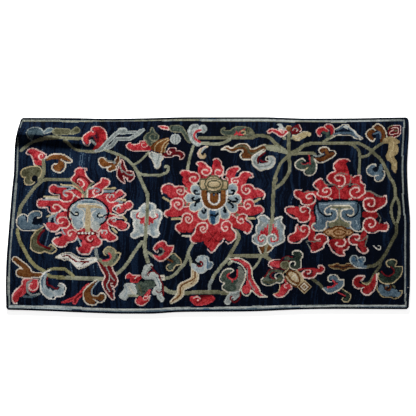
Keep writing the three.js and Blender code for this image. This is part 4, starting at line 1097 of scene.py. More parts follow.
    inner = [
        shape(Yarn.PALE, Yarn.CREAM, brush((-6.5, 10.5, 2), (-4.5, 9.5, 1.6))),
        shape(Yarn.PALE, Yarn.CREAM, brush((9.5, 10.8, 2.1), (7.5, 9.5, 1.6))),
        shape(Yarn.PALE, Yarn.CREAM, brush((-9, 6.6, 1.9), (-5, 6.5, 1.6)),
              brush((-10, 6.7, 1), (-11, 6.7, 0.4))),
        shape(Yarn.PALE, Yarn.CREAM, brush((11, 6.2, 2.2), (8, 6, 1.6))),
        shape(Yarn.PALE, Yarn.CREAM, brush((-7, 2.8, 2), (-4, 4, 1.6))),
        shape(Yarn.PALE, Yarn.CREAM, brush((9.5, 2.5, 2.2), (7, 4, 1.6))),
        shape(Yarn.PALE, Yarn.CREAM, brush((-3, -0.4, 2.3), (-1.5, 2.5, 1.6))),
        shape(Yarn.PALE, Yarn.CREAM, brush((6.3, -0.5, 2), (5, 2.5, 1.6))),
        shape(Yarn.PALE, Yarn.CREAM, brush((1.5, 1, 2.6), (1.5, -2.5, 2.2))),
        line(Yarn.BLUE, 1.1, (0.9, 1.3), (1, -2), (1.1, -4, 0.9)),
        lines(Yarn.NAVY, 0.45, ((-4.7, 8.4), (-6.4, 8.4), (-7, 9.4), (-6.7, 10), (-5.8, 9.7)),
              ((-4.7, 6.2), (-6.4, 5.6), (-7.6, 5.8), (-7.9, 6.6), (-7.3, 6.9)),
              ((-4.7, 5.3), (-6.1, 4.7), (-6.7, 3.4)), ((-2.3, 2.7), (-2.2, 0.9), (-2.9, 0.2), (-3.6, 1.1)),
              ((7.7, 8.4), (9.4, 8.4), (10.3, 9.4), (10, 10), (9.2, 10)),
              ((7.7, 6.1), (9.4, 5.2), (11.2, 5.3), (11.6, 6.2), (10.8, 6.6)),
              ((7.7, 5), (9.4, 3.8), (9.8, 2.8), (9.4, 2.5)),
              ((5.9, 2.7), (6.7, 1.2), (6.4, 0.5), (5.8, 1.2)), ((0.2, -0.8), (1.8, -1)),
              ((2.3, -1.2), (3.2, 0))),
        line(Yarn.IVORY, 0.4, (7.3, 10), (7, 6), (5.2, 3), (1.5, 1.6), (-2.4, 3), (-3.8, 7), (-4, 10)),
        shape(Yarn.CHESTNUT, None,
              band(1.1, (5.7, 10), (5.6, 6), (4.3, 3.8), (1.5, 2.8), (-1.4, 4), (-2.7, 7), (-2.8, 10)),
              brush((1.5, 6.8, 2.2))),
        line(Yarn.IVORY, 0.4, (3.9, 9.4), (3.8, 6), (3, 4.4), (1.6, 3.9), (0, 4.6), (-0.7, 6), (-0.8, 9)),
        dots(Yarn.NAVY, (-1.3, 9.5, 0.5), (4.1, 9.5, 0.5), (1.6, 9.2, 0.8)),
        dots(Yarn.BLUE, (1.5, 8, 0.5)),
    ]
    plate = [
        shape(Yarn.GOLD, None, band(2.9, (0.6, 12.8), (2.2, 12.8)), band(1.7, (-2.7, 12.6), (-2.7, 12.9)),
              band(1.6, (5.5, 12.3), (5.5, 12.6)), band(0.8, (0, 15.3), (3, 15.3)),
              band(0.5, (-4, 11), (-4, 14.2)), band(0.5, (6.8, 11.2), (6.8, 13.5))),
        lines(Yarn.MOSS, 0.34,
              ((-4.6, 13.7), (-4.2, 14.8), (-2, 15), (-1.1, 15.7), (0, 16.3), (2.3, 16.4), (3.3, 15.9),
               (4.1, 15), (5.3, 14.3), (7.2, 14), (7.4, 12.5), (7.2, 10.6), (5, 10.4), (4, 9.9), (3.3, 9.5),
               (1.5, 9.1), (-0.2, 9.3), (-1.3, 10.2), (-2.5, 10.4), (-4, 10.5), (-4.5, 11.8), (-4.6, 13.7)),
              ((-1.2, 12.6), (-0.5, 13.8), (1.5, 14.3), (3.5, 13.9), (4.3, 13), (4, 11.9), (2.7, 11.3),
               (1.5, 11.1), (0.2, 11.3), (-0.9, 11.8), (-1.2, 12.6)),
              ((-2.1, 14.2), (-2.4, 12.6), (-1.6, 11)), ((5.2, 13.8), (5.3, 12.2), (4.7, 11))),
        dots(Yarn.NAVY, (-1.4, 9.3, 0.4), (3.9, 9.2, 0.4)),
        line(Yarn.BOTTLE, 0.16, (-1.3, 14.6), (1.5, 15.4), (3.8, 14.7)),
    ]
    return [*sticks, deeper, bodies, edges, *shadow, *inner, *plate]


def middle_bottom_leaves() -> list[Layer]:
    """Gives the leaves and the small flower under the middle blossom."""
    return [
        shape(Yarn.ROSE, None,
              brush((-23.6, -15.4, 0.7), (-22.7, -14, 1.1), (-21, -13.3, 1.2), (-19.8, -14.2, 1.1),
                    (-18, -15.3, 1.4), (-16.7, -15, 0.8)),
              brush((-18.2, -17.2, 1.3), (-20.3, -19, 1.3), (-22.3, -19.2, 0.9), (-24, -18.3, 0.4))),
        dots(Yarn.NAVY, (-21.9, -16.2, 0.9), (-21.6, -17, 0.8)),
        line(Yarn.ASH, 0.4, (-21.3, -15.2), (-20.3, -15.8), (-20.1, -16.6), (-20.8, -17.6), (-22, -18.1)),
        line(Yarn.PINK, 0.27, (-22.3, -16), (-22.7, -16.8), (-23.6, -16.3), (-24.4, -15.3), (-24.1, -14.4),
             (-23.2, -13.1), (-21.7, -12.2), (-20.3, -11.9), (-19.1, -12.6), (-18.7, -13.5), (-17.7, -14.1),
             (-16.4, -14), (-15.7, -14.2), (-16, -15.6), (-16.7, -17), (-17.9, -18.5), (-19.2, -19.7),
             (-20.2, -20.4), (-21.9, -20.5), (-23, -19.9), (-24.2, -18.7), (-24.5, -17.9)),
        shape(Yarn.BOTTLE, None, brush((-16.3, -18.5, 0.9), (-14.8, -19.5, 1.3), (-14, -20.9, 1)),
              brush((-15.6, -21, 0.9), (-16.9, -23, 1.3))),
        line(Yarn.BROWN, 0.42, (-18.6, -19.6), (-17, -20.3), (-16.1, -20.9)),
        line(Yarn.TAN, 0.25, (-17, -17.6), (-15.8, -17.2), (-14.5, -18), (-13.4, -19.2), (-12.6, -20.5),
             (-12.6, -21.9), (-14.2, -22.2), (-15.2, -22.7), (-15.8, -24), (-16.6, -24.6), (-17.9, -24.5),
             (-18.8, -23.4), (-18.4, -22.3), (-17.6, -21.8)),
        shape(Yarn.CREAM, None, band(0.6, (-21.1, -27), (-19.9, -27)),
              band(0.6, (-21.1, -28.3), (-19.9, -28.3))),
        shape(Yarn.BOTTLE, None, brush((-29.6, -31.4, 2.2), (-29.4, -33.6, 1.7)),
              brush((-27, -30.7, 2), (-25, -30.4, 1.6)), brush((-27.6, -32.8, 1.5))),
        line(Yarn.MOSS, 0.4, (-30.4, -31), (-29.7, -32.5), (-29.2, -34)),
        shape(Yarn.MADDER, None,
              brush((-35, -27.1, 1), (-34.3, -26.5, 0.8), (-33, -27.6, 1.1), (-31, -27.8, 1.1),
                    (-29.9, -27.5, 0.8)), band(1.1, (-33.2, -28.8), (-31.4, -28.7))),
        line(Yarn.PINK, 0.2, (-36, -27.8), (-36, -26.9), (-35.3, -26), (-34.2, -25.6), (-33.4, -26.4),
             (-31.8, -26.6), (-30, -26.6)),
        line(Yarn.WINE, 0.4, (-32.7, -28.9), (-31.9, -28.2), (-31.5, -28.9)),
        line(Yarn.PINK, 0.24, (-30.4, -26.9), (-31.3, -27), (-32.2, -28)),
        shape(Yarn.WHITE, Yarn.WHITE, brush((-35.8, -31, 0.7), (-34.5, -30.9, 0.8), (-32.9, -31, 0.7)),
              brush((-35, -32.3, 1.1), (-36.4, -34.8, 1.4)), brush((-37.5, -35.2, 1), (-36.2, -36, 0.9)),
              brush((-33, -32.3, 0.9), (-32.3, -33.8, 0.8), (-34.5, -34, 1))),
        dots(Yarn.NAVY, (-38.3, -32.3, 1), (-35, -36.9, 0.5)),
        line(Yarn.PALE, 0.3, (-36, -31.3), (-35.4, -33), (-36.4, -35.3)),
        line(Yarn.CREAM, 0.34, (-34.4, -31.4), (-33.6, -33), (-32.6, -34.2)),
        line(Yarn.REED, 0.5, (-34.5, -35.3), (-31, -35.2)),
        shape(Yarn.ROSE, None,
              brush((-25.8, -32.9, 0.5), (-26.7, -34.7, 0.9), (-27.7, -36.7, 1.3), (-29.2, -37.8, 1.4),
                    (-30.3, -37.5, 1.3)), brush((-29.8, -36.3, 0.9))),
        line(Yarn.PINK, 0.2, (-31.6, -36.4), (-31.8, -37.8), (-30.7, -39), (-28.9, -39.3), (-27.2, -38.4),
             (-26, -36.8), (-25.5, -35)),
        line(Yarn.MADDER, 0.5, (-29.2, -36.3), (-29, -37.5), (-27.9, -37.9), (-26.8, -37.4)),
        line(Yarn.PINK, 0.18, (-26.7, -34.9), (-26.5, -36.1), (-27.2, -36.9), (-28.2, -36.9), (-28.5, -36.1),
             (-27.8, -35.4), (-27, -35.6)),
        shape(Yarn.WHITE, Yarn.WHITE,
              brush((-25.4, -22.3, 0.5), (-27, -23.4, 1.1), (-27.8, -24.8, 0.8), (-27.9, -26.6, 1.1),
                    (-26.5, -27.3, 0.9), (-24.8, -27.2, 0.8), (-23.3, -27.8, 0.8), (-22.3, -29.5, 0.8),
                    (-21.7, -31.2, 0.8), (-22.8, -32.7, 1.1), (-23.6, -33.7, 0.9)),
              brush((-22, -33, 0.8), (-21.6, -35.2, 0.9), (-20.7, -36.6, 0.9)),
              band(0.8, (-24.8, -26.2), (-23.3, -26.7))),
        line(Yarn.GUARD, 0.36, (-25.6, -22.9), (-26.4, -24.3), (-27.2, -25.5), (-27.2, -26.8)),
        line(Yarn.SLATE, 0.22, (-23, -27.6), (-22, -29.5), (-21.5, -31)),
        line(Yarn.GUARD, 0.36, (-21.8, -34.8), (-21, -36.3)),
        line(Yarn.WINE, 0.34, (-25.1, -22.7), (-24.4, -24.2), (-23.2, -25.4), (-21.9, -26.6), (-21.2, -28.4),
             (-20.6, -29.9), (-20.1, -31.4), (-20.2, -33.2), (-20, -35.2)),
        line(Yarn.WINE, 0.22, (-24, -24.9), (-25.5, -25.1), (-26.6, -25.8), (-26.5, -26.7)),
        line(Yarn.WINE, 0.22, (-20.5, -33.1), (-21.3, -33.8), (-22.4, -33.8), (-22.9, -33.2)),
        shape(Yarn.GOLD, Yarn.CREAM,
              brush((-7.8, -22.9, 0.3), (-7, -24.5, 1), (-6.6, -26.8, 1.4), (-7.2, -28.8, 1.5),
                    (-9.3, -30.1, 1.5), (-11.7, -31.2, 1.5), (-12.6, -32.6, 1.4), (-12.8, -34.4, 1.3),
                    (-14.3, -36.2, 1), (-16.6, -37.9, 0.5))),
        line(Yarn.BROWN, 0.33, (-16, -37.2), (-13.9, -35.8), (-12.9, -34.6), (-12.7, -33), (-12.5, -31.2),
             (-10.6, -29.8), (-8.5, -28.9), (-7, -28), (-6.5, -26.8), (-6.6, -25)),
        line(Yarn.BROWN, 0.2, (-6.8, -28.8), (-7.7, -29.8), (-8.6, -30.3)),
        shape(Yarn.PALE, Yarn.WHITE,
              brush((-7.5, -22, 0.4), (-6.9, -23, 0.9), (-5.2, -24.2, 1), (-3.8, -24.6, 0.9),
                    (-2.7, -23.7, 1.1), (-2.7, -21.5, 0.9), (-2.7, -19.5, 1.1), (-4.3, -19.3, 0.9),
                    (-5.3, -20.1, 0.7))),
        shape(Yarn.SLATE, Yarn.WHITE,
              brush((-1.5, -19.2, 0.5), (-1.2, -21, 0.6), (-0.9, -23, 1), (0.2, -21.8, 0.8))),
        line(Yarn.BLUE, 0.32, (-1.3, -20.5), (-1.2, -23.6)),
        line(Yarn.WHITE, 0.3, (-2.6, -19), (-2.4, -24.5)),
        dots(Yarn.NAVY, (-5.5, -21.9, 0.4), (-4.7, -21.9, 0.4)),
        line(Yarn.WINE, 0.42, (-4.4, -20.7), (-3.5, -21.3), (-3.6, -22.3), (-4.6, -22.9), (-5.6, -22.5)),
        shape(Yarn.MADDER, Yarn.ROSE,
              brush((-7.4, -36.6, 1.1), (-5.8, -37.7, 1.4), (-4, -37.4, 1.6), (-2, -36.9, 1.7),
                    (-0.4, -36.6, 1.4), (1.2, -36.4, 0.5)), brush((-5.8, -36.2, 0.9))),
        line(Yarn.WINE, 0.42, (-4, -35.4), (-2, -35.3), (0, -35.3)),
        line(Yarn.MADDER, 0.5, (-2.7, -37.4), (-1, -37), (0.3, -36.3)),
        line(Yarn.WINE, 0.25, (-4.3, -35.7), (-3.9, -36.8), (-4.5, -37.8), (-5.6, -38), (-6.2, -37.3),
             (-6, -36.6)),
        line(Yarn.PINK, 0.22, (-7.2, -36.2), (-6.3, -35.7), (-5.1, -35.7), (-4.5, -36.4)),
        dots(Yarn.PINK, (-5.3, -37, 0.42)),
        shape(Yarn.ASH, None,
              brush((12.3, -23.3, 0.7), (13, -25.5, 1.3), (12.9, -28, 1.4), (11.9, -30.3, 1.5),
                    (10.8, -32.2, 1.2))),
        shape(Yarn.BOTTLE, None,
              brush((8.6, -24.6, 0.6), (6.7, -25.2, 0.9), (5.6, -27, 1.2), (6, -28.5, 1.2), (8, -29.5, 1.2),
                    (7.3, -31.5, 1.7), (9.3, -31.8, 1.7)), brush((9.8, -29.7, 1), (11, -28.8, 0.8))),
        dots(Yarn.NAVY, (9.1, -26.5, 1), (10, -26.2, 1)),
        line(Yarn.ROSE, 0.33, (11.5, -24.4), (11.5, -26.1), (10.9, -27.8), (9.7, -28.4), (8.3, -27.9),
             (7.2, -27), (7.5, -26.2), (8, -25.8)),
        line(Yarn.ROSE, 0.28, (9.3, -28.5), (9.3, -29.6)),
        line(Yarn.CREAM, 0.26, (8.4, -25.5), (9.3, -25.1), (9.8, -24.5), (9.4, -24), (8.3, -23.8),
             (7.1, -23.9), (5.7, -24.6), (4.7, -25.9), (4.1, -27.3), (4, -28.5), (4.6, -29.4), (5.9, -29.9),
             (5.2, -30.8), (4.9, -31.9), (5.8, -32.8), (7.1, -33.6), (9.3, -33.8), (11.1, -33.8),
             (12.2, -32.9), (13, -31.8)),
        shape(Yarn.GUARD, Yarn.WHITE,
              brush((7.2, -37.6, 1.1), (8, -36, 1), (9, -34.9, 0.9), (10.8, -34.9, 1), (11.8, -34, 0.7))),
        line(Yarn.WHITE, 0.35, (9.8, -36.8), (10.8, -36.4), (11.4, -35.3)),
        line(Yarn.WINE, 0.34, (9, -35.4), (8.4, -36.1), (8.9, -37.2), (9.9, -37.9), (10.9, -37.7),
             (11.9, -36.8), (12.5, -35.2), (12.5, -33.7)),
        shape(Yarn.ROSE, None,
              brush((8.9, -19.9, 0.15), (11, -20, 0.35), (13, -20.6, 0.6), (15, -21.9, 0.9),
                    (16.3, -23.5, 1), (16.5, -25.5, 0.9), (16.4, -28, 1.1), (17.5, -30, 1.2), (19, -32, 1.2),
                    (20.3, -34, 0.9), (21.9, -35.1, 0.4)), brush((15.2, -32.5, 1.9)),
              band(0.9, (15.9, -29.5), (16.5, -31.5))),
        line(Yarn.GUARD, 0.25, (15.7, -23.5), (15.6, -26), (15.7, -28.4)),
        line(Yarn.GUARD, 0.25, (16.4, -28.8), (17.3, -30.9), (18.6, -32.7)),
        line(Yarn.CREAM, 0.27, (8.1, -19.6), (10, -19.4), (12, -19.3), (13.4, -19.6), (14.6, -20.4),
             (16.1, -21.3), (17, -22.4), (17.5, -23.9), (17.6, -25.8), (17.9, -27.6), (18.6, -29.1),
             (19.5, -30.5), (20.5, -32), (20.9, -33), (21.4, -34.1), (22.6, -34.9), (23.9, -35.6),
             (22.3, -35.7), (20.8, -35.6), (19.5, -34.8), (18.2, -33.6), (17.3, -32.9), (16.9, -33.9),
             (16.1, -34.9), (15.2, -35.2), (14.1, -34.8), (13.2, -33.3), (12.9, -32), (13.4, -30.7),
             (13.9, -29.7), (14.4, -28.6, 0.36), (14.8, -27), (14.9, -24.8), (13.6, -22.7), (11.8, -21.3),
             (9, -20.6)),
        shape(Yarn.ROSE, None, brush((26.2, -21.7, 1), (28, -21.8, 1.5), (28.9, -21.8, 1.5))),
        line(Yarn.PINK, 0.26, (29.9, -19.9), (27.6, -19.9), (26, -20.3), (25, -21.1), (24.7, -22.2),
             (25.5, -23), (26.4, -23.6)),
        line(Yarn.WINE, 0.26, (30, -20.5), (30.3, -19.9), (31.2, -19.1), (32.4, -18.6), (33.7, -18.6),
             (35, -18.9)),
        line(Yarn.WINE, 0.24, (29.9, -21), (29.8, -23.3)),
        line(Yarn.WINE, 0.24, (25.4, -24.1), (27, -23.9), (29.5, -23.9), (32, -24.1)),
        line(Yarn.WINE, 0.28, (30.6, -20.5), (33, -20.6), (34.6, -20.8)),
        shape(Yarn.MOSS, Yarn.BOTTLE, band(0.6, (32.6, -19.5), (33, -19.5))),
        shape(Yarn.MOSS, Yarn.OLIVE, band(1.4, (31.5, -22.2), (32.1, -22.2))),
        shape(Yarn.PINE, None,
              brush((35.9, -17.5, 0.9), (37.4, -17.6, 1.3), (37.7, -18.7, 1), (36.5, -19.7, 0.9),
                    (34.7, -19.8, 0.7)),
              brush((37.4, -20, 1), (37.4, -22, 1.1), (36.5, -23.2, 0.8), (35, -22.9, 0.9))),
        line(Yarn.CREAM, 0.25, (35.2, -17.7), (34.9, -17.1), (35.6, -16.3), (37, -16), (38.3, -16.3),
             (39.3, -17.4), (39.3, -18.6), (38.6, -19.8), (38.6, -21.1), (38.6, -23), (37.3, -24.1),
             (35.8, -24.1), (34.5, -23.7), (33.8, -22.7), (33.9, -21.4), (34.6, -20.8), (35.8, -20.8),
             (36.3, -21.4), (35.8, -22.2)),
        shape(Yarn.BOTTLE, None,
              brush((23.4, -28.8, 1.3), (25.3, -29.3, 1.3), (27, -28.9, 0.8), (28.8, -28.6, 1),
                    (29.9, -27.4, 1.1)),
              band(0.6, (24.2, -27.3), (24.6, -26), (26, -25), (28, -24.7), (30.3, -25))),
        line(Yarn.MOSS, 0.45, (23, -29), (25, -29.7), (27.5, -28.9), (29.8, -28)),
        line(Yarn.MOSS, 0.25, (25, -26), (27, -24.9), (30, -25)),
        line(Yarn.WINE, 0.3, (22.9, -27.4), (23.9, -26.1), (24.6, -24.7), (25.5, -24.2)),
        line(Yarn.WINE, 0.32, (27, -25.3), (25.8, -25.8), (25.5, -27), (26.5, -27.9), (27.4, -28)),
        line(Yarn.CREAM, 0.24, (22.4, -27.6), (21.8, -28.1), (21.6, -29.1), (22.3, -30.2), (23.5, -30.8),
             (24.9, -31), (26.4, -30.5), (27.9, -29.7), (29.4, -29.9), (30.5, -29.4), (31.1, -28.2),
             (31.1, -27), (30.3, -25.9), (28.9, -25.7), (27.8, -26.3), (27.4, -27.2), (28.1, -27.9)),
        line(Yarn.TAN, 0.26, (30.7, -26), (32.3, -24.6), (33.4, -23.5)),
        shape(Yarn.ROSE, None,
              brush((27.7, -34.8, 0.6), (29.5, -34.4, 1.2), (30.8, -33, 1.6), (31.5, -31.4, 1.4),
                    (33, -31.4, 1.3)), brush((32.5, -30, 0.7), (31.8, -28.5, 0.5))),
        line(Yarn.PINK, 0.27, (26.7, -34.6), (27.6, -35.5), (28.9, -36), (30.8, -35.5), (32.3, -34.4),
             (33.3, -33), (34.4, -32.3), (34.5, -31.4), (33.8, -30.4), (32.8, -29.7)),
        line(Yarn.TAN, 0.2, (29.5, -30.8), (29.2, -32.5), (28.5, -33.8), (27, -34.4)),
        line(Yarn.PINK, 0.24, (32.5, -30.2), (31.5, -30.5), (31.4, -31.4), (32.1, -31.9)),
        shape(Yarn.GOLD, None, brush((33.3, -25.8, 1), (35.3, -27.4, 2.2), (37, -28.8, 2.2), (38.3, -28, 1)),
              brush((36.5, -25.2, 0.8), (38.7, -27, 1), (39, -28.6, 0.6)),
              band(0.8, (32.5, -27.4), (35, -30)), band(1.2, (38.6, -31.5), (39.8, -30.3)),
              band(1.2, (39.8, -32.7), (41, -31.4)), brush((39.8, -31.5, 1.2))),
        line(Yarn.CREAM, 0.22, (34.6, -27.6), (35.6, -26.4), (36.6, -27.6), (36.2, -28.7)),
        line(Yarn.CREAM, 0.2, (32.6, -28.2), (34, -29.7), (35.9, -30.5)),
        line(Yarn.BROWN, 0.42, (34.3, -24.6), (36.3, -25.4), (37.5, -27), (38, -28.5), (37.6, -29.6),
             (36.2, -29.8), (34.6, -28.8), (33.3, -27.3), (32.7, -26), (33.2, -24.9), (34.3, -24.6)),
        line(Yarn.BROWN, 0.36, (31.7, -27.4), (32.9, -29.3), (35, -30.8), (36.5, -31.3), (37.5, -29.9)),
        diamond(Yarn.TAN, 0.24, 39.8, -31.4, 3, 2.7),
        diamond(Yarn.BROWN, 0.3, 39.8, -31.4, 2.4, 2.1),
        diamond(Yarn.CREAM, 0.24, 39.8, -31.4, 1.6, 1.4),
        diamond(Yarn.BROWN, 0.16, 39.8, -31.4, 0.9, 0.8),
    ]


def right_palmette() -> list[Layer]:
    """Gives the pale two-winged palmette between the middle and the right blossom."""
    return [
        shape(Yarn.BROWN, None, brush((22, -14.8, 1.1), (22.1, -16.6, 0.6)),
              brush((25.2, -14.8, 1.1), (24.3, -16.2, 0.5))),
        line(Yarn.CREAM, 0.26, (20.3, -14), (20.8, -15.6), (21.6, -17.3)),
        line(Yarn.CREAM, 0.26, (26.8, -14.6), (25.9, -15.9), (24.5, -16.9)),
        line(Yarn.OLIVE, 0.55, (23.9, -13.4), (23.7, -15.5), (23.2, -17.6)),
        shape(Yarn.GUARD, None,
              brush((22, -2.2, 1.4), (24, -3, 1.2), (22.5, -5, 2), (21.7, -8, 2.1), (20.3, -11, 2),
                    (22, -12, 1.9), (24, -11, 2)),
              brush((30, -2.6, 0.9), (28.5, -3.6, 1.2), (29.2, -5.5, 2.1), (29.4, -8.5, 2.2), (29, -11, 2.4),
                    (25.8, -12, 1.7)), band(1.9, (24.8, -5), (25, -10))),
        shape(Yarn.PALE, None, band(0.9, (22.2, -2.4), (24, -3.6)), band(0.8, (29, -3.6), (29.5, -6)),
              band(0.7, (21, -6.4), (21, -8)), band(0.6, (30.4, -7), (30, -11)),
              band(0.5, (19.4, -11), (20.4, -13)), band(0.6, (25.4, -12.6), (27.4, -13))),
        shape(Yarn.WHITE, None, band(0.4, (23.2, -4.2), (22, -5.4)), band(0.45, (28.2, -4.4), (28.4, -5.6)),
              band(0.35, (22.6, -10.8), (22.8, -12.6))),
        line(Yarn.IVORY, 0.3, (25.6, -2.7), (23.3, -0.9), (21.4, -0.9), (20.2, -1.9), (20.7, -2.8),
             (20.6, -4.6), (19.8, -5.4), (19.7, -7.6), (19.9, -8.8), (18.3, -9.7), (18, -11.9),
             (19.5, -13.3), (21.9, -14), (23.8, -13), (24.2, -11.5), (24.3, -10)),
        line(Yarn.IVORY, 0.32, (27.6, -2.5), (29.4, -1.7), (30.8, -1.6), (30.3, -3.2), (30.7, -4.3),
             (31.7, -5.5), (31.5, -7.5), (31.3, -9), (31.8, -10.1), (31.5, -11.8), (30, -12.9), (28, -13.8),
             (26.5, -14.1), (24.9, -13), (24.2, -11.5)),
        shape(Yarn.ROSE, None, band(0.4, (24.6, -4.9, 0.2), (24.4, -6.5), (24, -8.6, 0.9)),
              brush((23.4, -6.2, 0.2), (23.5, -8, 0.8)),
              brush((22, -7.5, 0.3), (22.2, -8.7, 0.8), (24, -9.2, 0.5)),
              brush((27, -4.8, 0.2), (27, -7, 0.5), (26.6, -8.2, 0.6)),
              brush((28, -6.3, 0.3), (27.7, -8, 0.6)),
              brush((28.8, -7.2, 0.3), (28.4, -8.6, 0.6), (29, -9.8, 0.4))),
        line(Yarn.ROSE, 0.32, (22.1, -9), (20.9, -9.7), (20.5, -10.8), (21, -12), (22, -12.1),
             (22.7, -11.5)),
        line(Yarn.ROSE, 0.32, (28.4, -9.2), (29, -10.3), (28.7, -11.5), (27.5, -12.1), (26.4, -12.2),
             (25.9, -11.4), (26.1, -10.8)),
        line(Yarn.IVORY, 0.27, (23.9, -10), (22.5, -9.3), (21.5, -9.7), (21, -10.7), (21.5, -11.5),
             (22.3, -11.1)),
        line(Yarn.IVORY, 0.27, (24.4, -10.3), (25.5, -9.3), (27, -9.2), (28, -10), (28, -11.2), (27, -11.6),
             (26.5, -11.1), (26.7, -10.6)),
        dots(Yarn.NAVY, (27.6, -1.2, 0.5)),
        line(Yarn.OLIVE, 0.62, (26.7, -1.5), (26, -5, 0.6), (25.2, -9, 0.35)),
    ]


def right_vines() -> list[Layer]:
    """Gives the vines of the right third."""
    return [
        line(Yarn.OLIVE, 0.8, (34.2, 35.3), (34.2, 26)),
        shape(Yarn.REED, None, brush((23.6, 29.2, 0.9), (27, 28.8, 1.4), (30, 28.3, 1.5), (33, 26.9, 0.9))),
        line(Yarn.OLIVE, 0.4, (24, 30), (28, 29.8)),
        line(Yarn.OLIVE, 0.8, (34.8, 26.2), (38.6, 28.2), (40.9, 29.9), (43.9, 30.8)),
        line(Yarn.OLIVE, 0.68, (43.5, 30.7), (46.1, 31), (50, 31), (60, 31), (63.8, 31.1), (65.9, 30.4),
             (68.1, 29.1), (70, 27.9), (71.6, 26.1), (73.4, 24.6), (74.6, 22.9), (75.6, 20.8), (76.9, 18.2),
             (78, 15.5), (79.3, 13.2), (79.9, 10.8), (80, 7)),
        line(Yarn.OLIVE, 0.72, (35, 26), (38.6, 26.4), (41.5, 26.5), (44, 26.5), (45.3, 26.1)),
        line(Yarn.OLIVE, 0.65, (33.7, 25), (31.7, 23.2), (30.4, 21.7), (29.3, 19.1), (28.4, 17),
             (27.6, 14.3), (27.4, 13)),
        line(Yarn.OLIVE, 0.72, (34.3, 26), (34.4, 20), (34.1, 18), (32.8, 15.7), (31, 13.3), (28, 11)),
        line(Yarn.OLIVE, 0.6, (61, 30.6), (62.6, 29.8), (64.3, 28.3), (65, 26.4), (64.9, 22), (64.4, 16.8)),
        line(Yarn.OLIVE, 0.6, (65.3, 24.9), (67.4, 25.1), (69.3, 26), (70.3, 27.4), (71.6, 28.5),
             (73.4, 29.9), (75.3, 31.1)),
        line(Yarn.OLIVE, 0.55, (79.7, 7), (78.9, 5.2), (78.1, 3), (77.9, 0.2), (78.5, -2.4), (79.3, -4.5)),
        line(Yarn.OLIVE, 0.6, (80.2, 7), (81, 5.5), (81.4, 2.6), (81.3, -0.1), (80.9, -2.2), (80.1, -4.5)),
        line(Yarn.MOSS, 0.7, (79.8, -4.6), (79.9, -7), (79.5, -9), (78.8, -10.4), (77.6, -12.5),
             (76.2, -15.1), (74.7, -17.6), (72.9, -20), (71.3, -21.5), (69.3, -22.6), (66.6, -22.9)),
        line(Yarn.MOSS, 0.5, (72.8, -20.7), (72.3, -22.5), (70.9, -24.4), (69.6, -26.2), (68.5, -28.2),
             (67.6, -29.6, 0.8), (66.3, -30.2, 0.6), (64.9, -29.9, 0.5)),
        line(Yarn.MOSS, 0.65, (43.1, -28), (44.7, -29.2), (46.3, -30.4), (47.5, -31.9)),
        line(Yarn.OLIVE, 0.6, (54.3, 34.9), (53, 34), (51.3, 32.8), (49.6, 31.6)),
    ]


